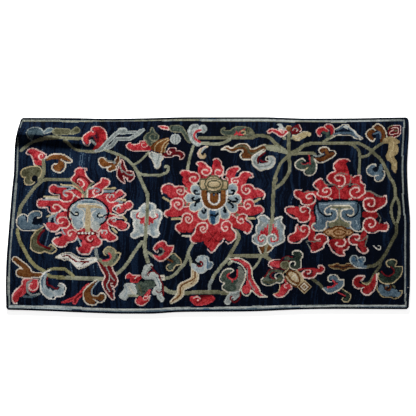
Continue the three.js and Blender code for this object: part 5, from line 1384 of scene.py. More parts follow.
def right_top_leaves() -> list[Layer]:
    """Gives the leaves over the right blossom."""
    return [
        shape(Yarn.WHITE, None, brush((29.4, 39.4, 0.2), (30.6, 39, 0.7), (31.3, 37.8, 0.9)),
              band(0.7, (30.2, 37.5), (32.5, 37.3))),
        line(Yarn.GUARD, 0.18, (30.1, 38.4), (30.7, 37)),
        dots(Yarn.REED, (32.3, 33.2, 0.8), (35.9, 33.2, 0.7)),
        shape(Yarn.ROSE, Yarn.PINK,
              brush((25.7, 36.1, 0.7), (26.8, 36.7, 0.6), (28.2, 36.4, 0.7), (29.6, 35.7, 0.9),
                    (31.1, 35, 1.1), (32.5, 35.7, 0.9), (33.5, 36.1, 0.4)), brush((30.8, 36.3, 0.7))),
        line(Yarn.PINK, 0.25, (30.6, 36.5), (31, 35.6), (31.9, 35.5), (32.1, 36.3), (31.4, 36.5)),
        shape(Yarn.BROWN, None, brush((33.7, 37.9, 0.7), (34.7, 38, 0.7), (34.3, 36.9, 0.8))),
        line(Yarn.TAN, 0.17, (33, 37.5), (33.6, 38.6), (34.9, 38.8), (35.5, 38)),
        shape(Yarn.WINE, None, brush((37.2, 36.8, 1.8), (38.2, 38.3, 0.9), (38.5, 38.9, 0.6)),
              brush((39.1, 36.9, 0.8), (36, 35.2, 0.5)), band(0.6, (35.7, 37.6), (35.8, 36))),
        line(Yarn.PINK, 0.17, (38.9, 39.4), (39.5, 38.2), (39.8, 36.8), (39.2, 36)),
        line(Yarn.GUARD, 0.22, (36.2, 36.7), (36.6, 37.5), (37.6, 37.6), (38.4, 36.8)),
        dots(Yarn.PINK, (37.8, 36.5, 0.35)),
        shape(Yarn.TAN, None,
              brush((36.2, 34.1, 0.4), (37.8, 33.2, 1.4), (39.3, 33.8, 1.3), (40.9, 34.6, 1.2),
                    (42.5, 35.2, 0.8), (43.3, 34.9, 0.8), (43.1, 34.3, 0.4))),
        line(Yarn.CREAM, 0.18, (36, 34.6), (37.6, 34.6), (39.2, 35.3), (40.7, 36.1), (42.6, 36.1)),
        line(Yarn.CREAM, 0.2, (37.3, 33.3), (38, 32.9), (39.1, 33.1), (38.8, 34), (38, 34.1)),
        shape(Yarn.WHITE, None,
              brush((22.7, 27.5, 0.25), (20.8, 26.1, 0.6), (19.4, 24.4, 1.1), (19.4, 22.2, 1.3),
                    (21.3, 20.6, 1.5), (24, 20.8, 1.4), (26, 21.8, 1.4), (26.7, 23.6, 1.2),
                    (25.5, 24.3, 0.6))),
        line(Yarn.CREAM, 0.24, (25.1, 23.1), (24.5, 23.3), (24, 23.8), (24.3, 24.5), (25.6, 25.1),
             (27.3, 24.9), (28.1, 23.9), (27.9, 21.9), (26.8, 20.4), (25.4, 19.6), (23.6, 19.3),
             (22.4, 18.8), (20.9, 19.1), (19.8, 20.1), (18.6, 21.3), (18.1, 22.9), (18, 24.6), (19.2, 25.8),
             (21.3, 27.1), (23.3, 28.2)),
        line(Yarn.GUARD, 0.36, (20.3, 25.4), (19.3, 23.8), (19.3, 22.2), (20.8, 20.8), (23.5, 20.6),
             (26, 21.6), (26.9, 23.2)),
        line(Yarn.WINE, 0.45, (23.7, 26.7), (22.6, 25.7), (21.2, 24.8), (20.6, 23.5), (20.8, 22.1)),
        line(Yarn.WINE, 0.42, (21.8, 23.3), (22.9, 22.6), (24.7, 22.7)),
        dots(Yarn.NAVY, (22.8, 24.6, 0.75), (22.9, 23.9, 0.7)),
        shape(Yarn.BOTTLE, None,
              brush((40, 23.3, 0.6), (38.5, 21.7, 1.3), (39.2, 20.5, 1.2), (41.3, 20.3, 1),
                    (43.3, 20.9, 1.2), (45, 22, 1)),
              brush((42.9, 18.5, 1.6), (44.6, 19.8, 1.5), (44.2, 24.2, 0.8))),
        line(Yarn.CREAM, 0.24, (41.2, 22.9), (40.7, 23.8), (39.9, 24.1), (38.3, 23.4), (37.3, 22.7),
             (36.8, 21.6), (37.1, 20.3), (38.3, 19.3), (40, 18.9), (40.9, 19.1), (40.6, 18), (41.2, 17),
             (42.7, 16.6), (44.3, 16.9), (45.5, 18), (46.1, 19.8), (46.1, 21.5), (45.3, 23.2)),
        line(Yarn.TAN, 0.24, (41.1, 19.3), (42.6, 20.2)),
        line(Yarn.ROSE, 0.3, (43, 25.4), (43.3, 23.5), (43.3, 21.6)),
        line(Yarn.ROSE, 0.2, (42.8, 22.3), (41.5, 21.6), (40.4, 21.6), (39.6, 22.1)),
        dots(Yarn.NAVY, (42, 22.9, 0.42)),
        shape(Yarn.BOTTLE, None, brush((49.3, 35.7, 0.5), (51.3, 35.2, 0.8), (51.3, 33.8, 0.7))),
        shape(Yarn.MADDER, None,
              brush((47.4, 35.2, 0.8), (47.7, 36.5, 1), (49.3, 37.2, 0.9), (51.2, 36.7, 0.8)),
              brush((51.2, 38.3, 0.7), (52.7, 38, 0.8), (53.2, 36.3, 0.7), (52.8, 34.8, 0.3))),
        line(Yarn.PINK, 0.2, (48.8, 34.9), (48.4, 34.1), (47.4, 34), (46.8, 34.9), (46.3, 36.2),
             (46.9, 37.3), (48, 38), (49.4, 38.2), (50.1, 38.6), (50.5, 39.2), (51.7, 39.5), (53.2, 39.1),
             (54.1, 37.9), (54.2, 36.4), (54.1, 34.9), (53.6, 34.1)),
        line(Yarn.PINK, 0.19, (50.2, 38), (51.3, 37), (51.9, 36.5)),
        shape(Yarn.SLATE, None, band(0.5, (55.3, 37), (56.5, 37.4), (58, 38.3)),
              band(0.5, (56, 35.5), (61, 35.6), (62.5, 34.6), (64, 33.8)),
              band(0.35, (54, 34.8), (55.6, 35.4))),
        shape(Yarn.WHITE, None,
              brush((58.9, 38.3, 0.6), (60, 38.1, 0.8), (61.2, 37.2, 0.5), (62.7, 36, 0.4),
                    (63.8, 34.8, 0.4), (65.3, 33.5, 0.4))),
        line(Yarn.SLATE, 0.28, (60.5, 37.5), (61.8, 36.6), (62.9, 35.3)),
        line(Yarn.CREAM, 0.22, (54.4, 37.1), (56, 37.9), (57.6, 38.9), (58.3, 39.2), (60.1, 39.2),
             (60.8, 38.8), (61.1, 38), (62.3, 37), (63.5, 36.1), (64.2, 34.9), (65.5, 33.9), (66.7, 33.2),
             (65.8, 32.7), (64.5, 32.8), (63, 33.3), (61.6, 34.3), (60.2, 34.5), (57.6, 34.6), (55.7, 34.6),
             (54.2, 33.9), (52.4, 32.9)),
        shape(Yarn.BROWN, None,
              brush((45.3, 24.2, 0.3), (46.8, 23.7, 0.9), (49, 23.8, 0.9), (51, 24.8, 1), (53.3, 26.1, 0.9)),
              brush((50.8, 26.5, 0.9), (50.3, 28, 0.8), (49, 28, 0.9), (48.5, 27, 0.5))),
        line(Yarn.GUARD, 0.4, (45.2, 25.4), (47, 25.2), (48.3, 25.7), (49.3, 26.2)),
        line(Yarn.CREAM, 0.26, (48.2, 26.3), (47.6, 27), (47.3, 27.9), (48, 28.8), (49.4, 29.2),
             (50.8, 29.1), (51.7, 28.3), (52, 27.7), (53.5, 27.7), (54.6, 26.7), (54.5, 25.9), (53.5, 24.8),
             (51.9, 23.9), (50.4, 23), (48.8, 22.4), (47.1, 22.3), (46.1, 22.9), (45.1, 23.9)),
        shape(Yarn.BROWN, None,
              brush((70.6, 32.7, 0.8), (69.6, 34.2, 1), (69.8, 35.6, 1), (71.3, 36.2, 0.8)),
              brush((72.5, 37.8, 0.8), (73.6, 38, 1.1), (75.1, 36.5, 1.2), (75.6, 34.5, 1),
                    (75.2, 32.8, 0.9), (74.6, 31.6, 0.4))),
        line(Yarn.SLATE, 0.36, (71.3, 35.1), (72.7, 35.5), (74, 35.9), (74.4, 34.7), (74.2, 33.2)),
        line(Yarn.CREAM, 0.28, (72, 32.9), (71.5, 32.1), (70.7, 31.8), (69.4, 32.6), (68.4, 33.8),
             (68.1, 35.2), (68.8, 36.4), (69.9, 37.2), (70.9, 37.6), (71.3, 38.3), (72.3, 39.1),
             (73.3, 39.7), (74.4, 39.2), (75.8, 38), (76.7, 36.4), (77.1, 34.6), (76.9, 33.2), (75.8, 31.9)),
        line(Yarn.CREAM, 0.24, (71.2, 37.6), (72.3, 36.7)),
        shape(Yarn.WINE, None, brush((79.3, 37.7, 1), (82, 37.8, 1)),
              brush((78.5, 35, 0.9), (78.7, 37, 0.9)), brush((80.5, 34.6, 0.9), (82.4, 35.8, 0.9)),
              brush((80.6, 36.4, 1.2))),
        line(Yarn.PINK, 0.18, (78.7, 33.8), (80.5, 33.6), (82.2, 34.2), (83.2, 35.4), (83.4, 37.1), (83, 39),
             (80, 38.9)),
        line(Yarn.OLIVE, 0.23, (80, 38.9), (78.4, 38.3), (77.8, 37.3)),
        line(Yarn.PINK, 0.17, (78.4, 36), (78.7, 35), (80.4, 35), (81.9, 35.3), (82.4, 36.4), (82.1, 37.7),
             (80.9, 38), (79.3, 37.6)),
        line(Yarn.PINK, 0.2, (78.5, 35.9), (79.4, 36.4), (80.2, 37)),
        dots(Yarn.MOSS, (81.1, 36.6, 0.55)),
        shape(Yarn.KHAKI, Yarn.KHAKI,
              brush((76.2, 31.8, 0.7), (78.2, 32.4, 1.2), (80.3, 31.9, 1.1), (82, 31.5, 0.4)),
              brush((79.2, 30.2, 1.2), (80, 28.3, 1.9), (78.7, 26.2, 1.4), (78.1, 24.8, 1.3),
                    (79.3, 23.3, 1), (80.1, 22, 0.85), (79.8, 20.4, 0.9), (80, 19.3, 0.6),
                    (80.3, 18.2, 0.2))),
        line(Yarn.TAN, 0.2, (80, 31.5), (79.7, 28.5), (78.3, 26), (79, 23.5), (80.2, 21)),
        shape(Yarn.SLATE, None,
              brush((71.3, 21, 0.5), (69.6, 20.2, 1.1), (69.4, 18.2, 1.3), (71.3, 17.3, 0.8),
                    (73, 17.7, 0.9), (74, 19.2, 0.9), (74, 21.3, 0.5)),
              brush((73, 15.7, 1.4), (74.4, 17, 1))),
        dots(Yarn.NAVY, (71.5, 19.4, 0.9), (72.6, 19.7, 0.7)),
        line(Yarn.CREAM, 0.28, (72, 20.8), (71.7, 21.5), (70.3, 21.5), (68.7, 20.5), (67.8, 19),
             (68.4, 17.2), (70.1, 16.3), (71.2, 16.2), (71.3, 14.9), (72.4, 14), (74.1, 14.4), (75.4, 16.1),
             (75.7, 17.8), (75.2, 18.7)),
        line(Yarn.CREAM, 0.22, (71.3, 16.4), (72.9, 16.7)),
    ]


def right_bottom_leaves() -> list[Layer]:
    """Gives the leaves under and beside the right blossom."""
    return [
        shape(Yarn.GARNET, None,
              brush((37.6, -24.3, 0.5), (39.5, -23.8, 0.4), (43, -23.9, 0.5), (44.8, -24.5, 0.9),
                    (46.5, -24.7, 0.9), (47.3, -23.7, 1)),
              brush((39.9, -25.6, 0.6), (40.3, -26.6, 0.7), (42, -27.1, 0.6), (43.7, -26.3, 0.8),
                    (44.2, -25, 0.7)), band(0.6, (41.2, -25.2), (42, -25.1))),
        line(Yarn.WINE, 0.4, (40.2, -26), (40.9, -26.9), (42.5, -26.9), (43.6, -25.9)),
        line(Yarn.PINK, 0.27, (46.1, -23.4), (45.9, -22.8), (46.9, -22.2), (48.1, -22.8), (48.6, -23.7),
             (48.2, -24.9), (46.9, -25.8), (45.4, -25.9), (44.7, -26.8), (43.5, -27.6), (41.6, -27.8),
             (39.9, -27.5), (39, -26.4), (39.1, -25.5), (40.3, -24.5), (41.9, -24.3), (42.7, -24.9),
             (42.3, -25.6), (41.3, -25.9)),
        shape(Yarn.SLATE, None,
              brush((48.5, -32, 0.5), (49.6, -32.8, 0.9), (51.5, -32.8, 1), (53.5, -31.9, 1.1),
                    (55, -30.6, 1.2), (55.6, -29.4, 0.8)),
              brush((54, -29, 0.6), (53, -27.9, 0.9), (51.3, -27.7, 0.9))),
        line(Yarn.ROSE, 0.37, (52, -28.8), (52.8, -29.6), (52.8, -30.5), (51.9, -31.3), (49.8, -31.7)),
        line(Yarn.ROSE, 0.3, (52.9, -30.1), (53.8, -30.1)),
        line(Yarn.CREAM, 0.27, (47.7, -32.3), (48.5, -33.3), (49.7, -34.1), (51.1, -34.2), (52.8, -33.6),
             (54.8, -32.5), (56.3, -31.1), (56.7, -29.5), (56.6, -28.5), (55.3, -28.4), (54.5, -28.3),
             (54.4, -27.5), (53.6, -26.6), (52.5, -26.3), (51, -26.5), (50.1, -27.3), (49.9, -28.4),
             (50.4, -29.2), (51.3, -29.4)),
        shape(Yarn.PINE, None,
              brush((56, -33.1, 0.4), (57.4, -34.2, 0.8), (58.3, -35.5, 0.7), (57.8, -36.8, 0.7),
                    (56.7, -36.8, 0.5))),
        line(Yarn.ROSE, 0.28, (54.3, -33.8), (55.7, -34.6), (57, -35.2)),
        line(Yarn.TAN, 0.2, (56, -32.4), (57.5, -33.4), (59.1, -34.4), (59.3, -35.7), (58.8, -37),
             (57.8, -37.8), (56.5, -37.6), (55.7, -36.8), (56.2, -36)),
        shape(Yarn.BROWN, None,
              brush((50.7, -22.5, 0.25), (52.2, -22.9, 0.5), (54, -22.6, 0.85), (56.6, -23.3, 0.8),
                    (58.6, -22.6, 0.8), (60.4, -23, 0.5), (62, -23.3, 0.25))),
        line(Yarn.NAVY, 0.26, (53, -22.8), (54.5, -22.7), (56.5, -23.4), (58.3, -22.8), (59.8, -22.8)),
        line(Yarn.KHAKI, 0.17, (50.4, -22.2), (51.7, -22.3), (53.1, -21.7), (54.4, -21.5), (55.3, -22.1),
             (56.9, -22.3), (58.2, -21.5), (59.5, -21.4), (60, -21.9)),
        line(Yarn.KHAKI, 0.17, (50.4, -22.6), (51.3, -23.3), (52.8, -23.8), (54.7, -23.8), (56, -24.4),
             (57.6, -24.3), (58.9, -23.6), (61, -23.6), (62.6, -23.6)),
        shape(Yarn.SLATE, None,
              brush((61, -19.4, 1), (61.2, -20.7, 1), (62.6, -21.7, 1), (64.2, -21.7, 1.1),
                    (64.4, -20.2, 0.8), (65.3, -19.7, 0.4)), band(0.6, (64.5, -22.6), (66.2, -22.9, 0.4))),
        line(Yarn.BLUE, 0.4, (63.5, -19.9), (64.3, -21)),
        line(Yarn.BLUE, 0.35, (60.8, -19.3), (61.2, -20.3)),
        line(Yarn.PALE, 0.23, (62.5, -19.5), (63.2, -20.6)),
        line(Yarn.WHITE, 0.23, (65.4, -20.9), (66, -20.2), (66, -19.3), (65, -18.8), (63.6, -19.1),
             (62.7, -19.6), (62.8, -18.8), (62.2, -18.2), (60.9, -18.1), (59.8, -19), (59.6, -20.3),
             (60.1, -21.4), (61, -22.4), (62.2, -23.1), (63.8, -23.4), (66.3, -23.5)),
        shape(Yarn.GARNET, None,
              brush((64.2, -27.6, 0.7), (62.6, -28.2, 1), (61.9, -29.7, 1.1), (63, -30.9, 0.9),
                    (64.5, -30.9, 0.5), (66, -31.8, 0.9), (67.8, -31.8, 1.2), (69.1, -30, 1),
                    (69.6, -28, 0.7), (70, -26.4, 0.3)), brush((65.7, -33.4, 1.2), (67.3, -33, 1.2))),
        line(Yarn.TAN, 0.2, (63.9, -28.9), (64.9, -30), (66.4, -30.5), (67.8, -29.6)),
        line(Yarn.PINK, 0.29, (63.9, -28.9), (64.9, -28), (65.5, -27.2), (65.2, -26.8), (63.5, -26.7),
             (62.1, -27.1), (60.9, -28.2), (60.4, -29.7), (61, -31.2), (62.2, -32.1), (63.8, -32.1),
             (63.8, -33.1), (64.4, -34), (65.6, -34.8), (67.1, -34.9), (68.2, -34), (69.3, -33.1),
             (69.8, -31.8), (70.4, -30.6), (70.8, -29.1), (70.6, -27.4), (70.9, -25.9)),
        line(Yarn.PINK, 0.23, (64, -32), (65.3, -31.6)),
        shape(Yarn.PINE, None, brush((76.3, -21.4, 1), (77.7, -21.1, 1.2), (77.9, -22.5, 0.9)),
              brush((80.4, -24, 1), (79.8, -26, 1.4), (77.8, -28, 1.4), (75.3, -28.7, 1.3), (73.2, -28, 1.3),
                    (72.3, -26.4, 0.8))),
        line(Yarn.PINE, 0.7, (78.6, -23.6), (79.3, -25)),
        line(Yarn.WINE, 0.26, (77, -23), (77.7, -23.9), (78.3, -25), (77, -26.4), (75.4, -26.9),
             (73.8, -26.3), (72.8, -24.9)),
        line(Yarn.TAN, 0.22, (76.2, -23), (75.6, -22.6), (75, -21.7), (75.1, -20.8), (76.2, -20.1),
             (77.6, -19.8), (78.9, -20.2), (79.5, -21), (79, -21.8), (78.8, -22.8), (80.3, -22.9),
             (81.6, -22.9), (81.8, -24.1), (81.2, -26.2), (80.1, -27.7), (78.8, -28.8), (77.4, -29.8),
             (75.3, -30.2), (73.5, -30), (72.4, -29.3), (71.4, -27.8), (71.5, -25.4)),
        shape(Yarn.SLATE, None,
              brush((72.4, -31.3, 0.9), (72.6, -33, 1.3), (74.2, -34.3, 1.2), (76.8, -34.3, 1.1),
                    (79, -34.6, 1.2), (80.1, -34.2, 0.6)), band(0.9, (77.3, -33), (78.5, -33.5)),
              band(0.5, (74.4, -31), (75.3, -31))),
        dots(Yarn.NAVY, (75.2, -32.1, 0.5)),
        line(Yarn.BROWN, 0.3, (76.3, -30.9), (76.6, -31.9), (75.7, -32.8), (74.5, -32.7), (74.2, -31.9),
             (74.9, -31.4)),
        line(Yarn.MOSS, 0.4, (77.5, -31), (78.2, -31.8)),
        line(Yarn.KHAKI, 0.22, (70.8, -31), (70.8, -32.6), (71.7, -34.3), (73, -35.6), (75, -35.8),
             (76.5, -35.8), (77.5, -36.4), (79, -36.2), (80.5, -35.3), (81.2, -34)),
        line(Yarn.TAN, 0.2, (81.3, -34), (81.3, -33.1), (80.4, -33)),
        line(Yarn.IVORY, 0.22, (69.7, -13.9), (70.4, -14.7), (71.3, -15.4), (72.1, -15.6), (72.8, -15),
             (72.7, -14.2), (71.9, -13.9)),
    ]


def right_blossom() -> list[Layer]:
    """Gives the right blossom: petals, the blue vase and its curls, and the knot under it."""
    bodies = shape(
        Yarn.MADDER, None,
        brush((37.3, 9.1, 1.1), (39.5, 7.5, 1.8), (42, 6.2, 2.4)),
        brush((42, 9, 1), (45.5, 8.7, 1), (47, 6.8, 1)),
        brush((34, 1.2, 1.2), (37, 1, 2), (39.5, 0, 3), (40.5, -1.5, 2.3)),
        brush((42, 3.5, 1), (44.5, 4, 1), (43.8, 2, 0.8)),
        brush((35.2, -10.9, 1.5), (37.5, -9.8, 2), (39.8, -8, 2.6)), brush((37.8, -6.5, 1.2)),
        brush((44, 0, 1), (43.8, -4, 1.3), (43.3, -8, 1.5), (43.5, -11, 1.5)),
        brush((47, 13.3, 1.8), (48.3, 11.5, 2.2), (49.3, 9.7, 2.4)),
        band(2.6, (50, 8.5), (55.5, 9), (61, 8.5)),
        brush((56.4, 21.4, 2.5), (56.8, 18.5, 3.1), (56.5, 14.5, 4.1)),
        brush((57.6, 22.5, 1.3), (59.5, 23.3, 0.7)), brush((60, 15.2, 1.6), (61.7, 14.5, 1.3)),
        brush((53.5, 15.5, 2.7)), brush((63.8, 15.2, 1.2), (64, 13, 2), (63.8, 10.5, 3), (63, 9, 2.6)),
        brush((62.5, 6.3, 0.6), (65, 6.5, 1), (66.5, 8, 1)))
    deeper = shape(
        Yarn.GARNET, None,
        brush((44.5, -15, 1.5), (45.5, -13, 2.3), (47, -11.3, 2.6)),
        brush((65.5, -15.8, 1.2), (64.8, -13.5, 1.6), (62.5, -11.3, 2.3)),
        brush((65.5, -10.5, 1.5), (66, -8.5, 1)),
        brush((52.5, -12.8, 1.7), (55, -13.5, 2.8), (57.5, -13, 2), (59, -12, 1.3)),
        brush((55.5, -16, 2), (57, -17.8, 0.5)), brush((74.2, 5.5, 1.8), (71.5, 4.8, 2.6), (69, 4, 3.2)),
        brush((67.5, 8, 1.2), (69.5, 7.8, 1.3)), brush((75, -6, 1.5), (72.5, -5.8, 1.6), (69, -5.2, 3)),
        brush((66.5, -0.5, 1.3), (70.5, -0.8, 1.6)))
    shades = lines(
        Yarn.ASH, 0.22,
        ((40.6, 9.1), (42.7, 9.6), (44.8, 9.6)),
        ((38.4, 3.4), (38.6, 1.9), (39.5, 0.6)),
        ((37.4, -5.4), (38, -6.6), (38.9, -7.8)),
        ((41.5, -11.9), (44.2, -12.2), (47.1, -12)),
        ((41, -12), (42, -13.9), (42.8, -15.6)),
        ((49.2, 14.3), (50.1, 12.7), (53.6, 12.5)),
        ((55.7, 6.2), (55.7, 10.5)),
        ((52, 13), (54, 12.5), (55.7, 10.5), (58.5, 12.3), (60.5, 13)),
        ((61.1, 16.9), (60.8, 14.3), (60.3, 12.5)),
        ((54.8, 17.2), (57.1, 17.7), (59.5, 16.9)),
        ((60.1, 12.2), (62.4, 12.7), (64, 12.2), (64.8, 11.1)),
        ((67, 9.6, 0.4), (69, 9.6, 0.4), (70.8, 8.6, 0.4), (72.5, 7.6, 0.4), (74, 7.4, 0.3)),
        ((72, 0), (73.2, -2), (72.5, -4.5)),
        ((62.1, -11.7), (64.8, -11.7), (67.1, -9.8)),
        ((67.4, -9.8), (66.8, -11.9), (66.1, -14.2)),
    )
    edges = lines(
        Yarn.PINK, 0.29,
        ((39.3, 10.2), (38, 10.3), (36.5, 9.9), (36.1, 8.4), (37.1, 6.9), (38.9, 5.8), (39.2, 4.3),
         (41.2, 3.7), (43.3, 3.9), (44.8, 4.9), (45.4, 6.4), (45.1, 7.8), (43.6, 8.6), (42.1, 8.1),
         (41.4, 7.2), (42.1, 6.4), (43.1, 6.6)),
        ((45, 5.2), (46.5, 5.3)),
        ((36, 2.9), (34, 2.9), (32.5, 2.3), (32.2, 1), (33, -0.1), (34.5, -1.3), (36.2, -2.2), (37.4, -2.2),
         (37.9, -3.4), (39.2, -3.9), (40.9, -3.8), (42.4, -2.8), (42.9, -1.3), (42.7, 0.5), (43, 1.6),
         (41.8, 2.7), (40.1, 3), (38.9, 2.2), (38.9, 1.1), (40.1, 0.5), (40.8, 1.1)),
        ((37.4, -4.8), (36.7, -5.7), (36.5, -7.8), (35.4, -8.6), (33.6, -9.5), (33.3, -11.3), (34.2, -12.5),
         (36.2, -12.9), (38.3, -12.5), (39.2, -11.3), (40.9, -10.4), (42.1, -8.9), (42.6, -7.2),
         (42.1, -5.7), (40.4, -5.1), (39, -5.7), (38.9, -7.2), (39.9, -7.9), (40.5, -7.2)),
        ((43, -15.8), (43.3, -16.7), (44.5, -16.7), (46.5, -15.9), (48.3, -14.8), (48.6, -13.4),
         (50.1, -11.9), (50.2, -10.1), (48.9, -9.1), (46.5, -8.9), (45.1, -9.7), (44.8, -11), (45.9, -11.6),
         (47, -11)),
        ((48.6, 14.9), (47.7, 15.2), (46.2, 14.4), (44.8, 13.1), (44.8, 11.9), (45.9, 10.8), (46.8, 9.9),
         (46.2, 8.4), (47.7, 7.4), (49.8, 7.2), (51.5, 8), (52.3, 9.3), (51.8, 10.8), (50.4, 11.2),
         (49, 10.8), (48.7, 9.6), (49.8, 9.1), (50.4, 9.6)),
        ((50.6, 7.1), (52.4, 6.2)),
        ((52.4, 13.1), (50.9, 14.3), (50.6, 15.8), (51.8, 17.5), (54.2, 18.6), (53.6, 19.9), (53.6, 21.4),
         (54.8, 22.8), (56.5, 23.8), (59.5, 23.9), (60.6, 23.1)),
        ((55.4, 11.9), (56.8, 11.8), (58.1, 13.1), (58.4, 14.9), (57.9, 16.2), (56.2, 16.8), (54.5, 16.5),
         (53.9, 15.6), (54.8, 14.4), (55.9, 14.3)),
        ((62.1, 15.9), (63.3, 16.5), (65.2, 16.6), (65.1, 15.2), (65.2, 13.7), (66.8, 12.5), (67.1, 11.9),
         (66.7, 10.8), (67, 9), (65.6, 8), (63.9, 6.8), (62.1, 6.9), (60.6, 8), (60.3, 9.6), (61.5, 10.8),
         (63.3, 11.4), (64.3, 10.8), (64.2, 9.6), (63.1, 9.1)),
        ((60.9, 6.6), (60.1, 6.2)),
        ((74.8, 7.4), (75.8, 7.8), (76.1, 5.8), (75.5, 4), (73.9, 2.7), (72.1, 1.8), (70.6, 0.8), (68, 0.8),
         (66.5, 2.1), (65.9, 4), (66.4, 5.8), (68, 6.6), (70.1, 6.6), (70.9, 5.5), (70.6, 3.7), (69.5, 3),
         (68.1, 3.7), (68.6, 4.4)),
        ((74.8, -4.2), (75.9, -4.1), (76.4, -5.4), (75.9, -7.2), (74.8, -7.8), (72.4, -7.5), (71.2, -8.1),
         (69.8, -8.6), (67.4, -8.2), (65.9, -6.6), (65.6, -4.8), (66.5, -2.8), (68.3, -2), (70.1, -2.3),
         (70.9, -3.9), (70.4, -5.4), (68.9, -6), (68, -5.1), (68.9, -4.4)),
        ((67.1, -15.1), (67.3, -16.3), (65.9, -17.2), (64.5, -17), (63, -15.7), (62.4, -14.5), (62.7, -13.5),
         (60.9, -13.6), (59.5, -12.5), (59.2, -11), (60.3, -9.5), (62.1, -9.1), (63.7, -9.4), (63.9, -10.7),
         (62.7, -11.4), (62.1, -11.1)),
        ((50.6, -11.3), (50.4, -13.1), (51.2, -14.5), (52.1, -16.3), (54.2, -17.8), (55.9, -18.4),
         (57.4, -17.9), (56.8, -16.3), (58.6, -15.4), (59.2, -14.5)),
        ((57, -11), (57.8, -12), (57.3, -13.6), (55.8, -14.3), (54.2, -13.9), (53.6, -13.2), (54.3, -12.6)),
    )
    vase = [
        shape(Yarn.SLATE, None, band(2.2, (47.3, 2.6), (55.5, 2.9), (62.8, 2.8)),
              band(2, (47.2, -2), (47.2, 2)), band(2.1, (62.6, -2.5), (62.6, 2)),
              band(3, (52, -3), (58.5, -3)), band(3, (52, 1), (58.5, 1)), band(1.9, (46, -5.2), (49, -5)),
              band(1.9, (62.8, -5.6), (60, -5))),
        line(Yarn.PALE, 0.2, (47.5, 3.8), (55, 4.4), (62, 4.2)),
        line(Yarn.PALE, 0.18, (45.6, 1.5), (46.4, -3)),
        line(Yarn.PALE, 0.18, (62.6, -3), (63.6, -6)),
        shape(Yarn.OLIVE, None, band(0.5, (52.2, 2.6), (60, 2.6)), band(0.5, (55.5, 2.6), (55.4, -3)),
              band(1.2, (55.3, -3.2, 0.8), (53.5, -4.6), (51.8, -5)),
              band(1.2, (55.5, -3.2, 0.8), (57, -4.6), (58.8, -5)), brush((55.3, -5.2, 1.3))),
        lines(Yarn.NAVY, 0.36,
              ((45.5, -4), (45.5, -1.6), (44.8, 0), (44.8, 2.5), (45.5, 4), (46.6, 5.2), (55, 5.5),
               (62.8, 5.6), (64, 4.8), (65, 3), (65.2, 0), (64.8, -2.5), (64.6, -5)),
              ((46.3, 4.5), (46.2, 3), (46.7, 1.5), (47.5, 0.3), (48.5, -0.5), (50, -1.3), (51.5, -1.2),
               (52.3, -0.3), (52.2, 0.5)),
              ((63.7, 4), (63.6, 1.5), (63.3, 0.2), (62, -1.2), (60.5, -1.7), (59, -1.2), (58.4, -0.4))),
        lines(Yarn.CREAM, 0.3,
              ((52.3, 3.6), (51, 2.9), (49.7, 2), (49.2, 0.8), (49.8, -0.2), (50.8, -0.5), (51.8, -0.2)),
              ((52, 2), (53.7, 1.7), (54.5, 0.8), (54.6, -1), (54.3, -2.2), (53, -3.3), (51.5, -3.6),
               (50, -3.6), (49.9, -5.3), (49.3, -6.5), (48, -7.4), (46, -7.6), (44.3, -7), (43.5, -5.8),
               (44, -4.7), (45, -4.3)),
              ((52.3, 3.6), (55, 3.5), (59.3, 3.5), (60.5, 2.9), (61.4, 2), (61.8, 0.8), (61.5, -0.4),
               (60.3, -1), (59, -0.6)),
              ((60.5, 2), (58.5, 1.8), (56.8, 1.4), (56.1, 0.4), (56.1, -1.3), (57, -2.5), (58.5, -3.5),
               (60.3, -3.6), (60, -5), (60.5, -6.2), (61.7, -7.3), (63.5, -7.9), (65, -7.5), (65.5, -6.5))),
    ]
    knot = [
        shape(Yarn.FAWN, None, band(2.3, (54.2, -8.2), (56.3, -8.2)), band(1.8, (53, -8.2), (57.5, -8.2)),
              brush((50.4, -8.2, 1.2)), brush((59.4, -8.3, 1.2))),
        lines(Yarn.BROWN, 0.36,
              ((48.5, -8.2), (50, -7), (52, -6.8), (53.3, -5.9), (56.5, -5.8), (58.3, -7), (60, -7),
               (61, -8.2), (60, -9.3), (58, -9.5), (57, -10.7), (53, -10.8), (51.8, -9.5), (50, -9.3),
               (48.5, -8.2)),
              ((52.8, -8.2), (53.7, -7.2), (55, -6.9), (56.8, -7.3), (57.9, -8.2), (56.8, -9.2),
               (55.2, -9.6), (53.8, -9.4), (52.8, -8.2))),
        dots(Yarn.BROWN, (54.5, -8.2, 0.42), (55.3, -8.2, 0.42), (50.3, -8.2, 0.42), (59.3, -8.2, 0.42)),
    ]
    return [bodies, deeper, shades, edges, *vase, *knot]


def picture() -> list[Layer]:
    """Gives the whole pattern, in the order in which its layers cover each other."""
    return [
        *left_vines(), *middle_vines(), *right_vines(), *border(),
        *left_top_leaves(), *left_bottom_leaves(), *left_blossom(), *left_palmette(),
        *middle_top_leaves(), *middle_bottom_leaves(), *middle_blossom(),
        *right_palmette(), *right_top_leaves(), *right_bottom_leaves(), *right_blossom(),
    ]


@dataclass(frozen=True)
class Streaks:
    """One kind of streak in the field: its length in centimetres, its width in knots, and its strength."""

    run: float
    width: float
    weight: float


@dataclass(frozen=True)
class FieldPatch:
    """A place where the field is lighter or deeper, and how far it reaches, in centimetres."""

    x: float
    y: float
    reach_x: float
    reach_y: float
    strength: float


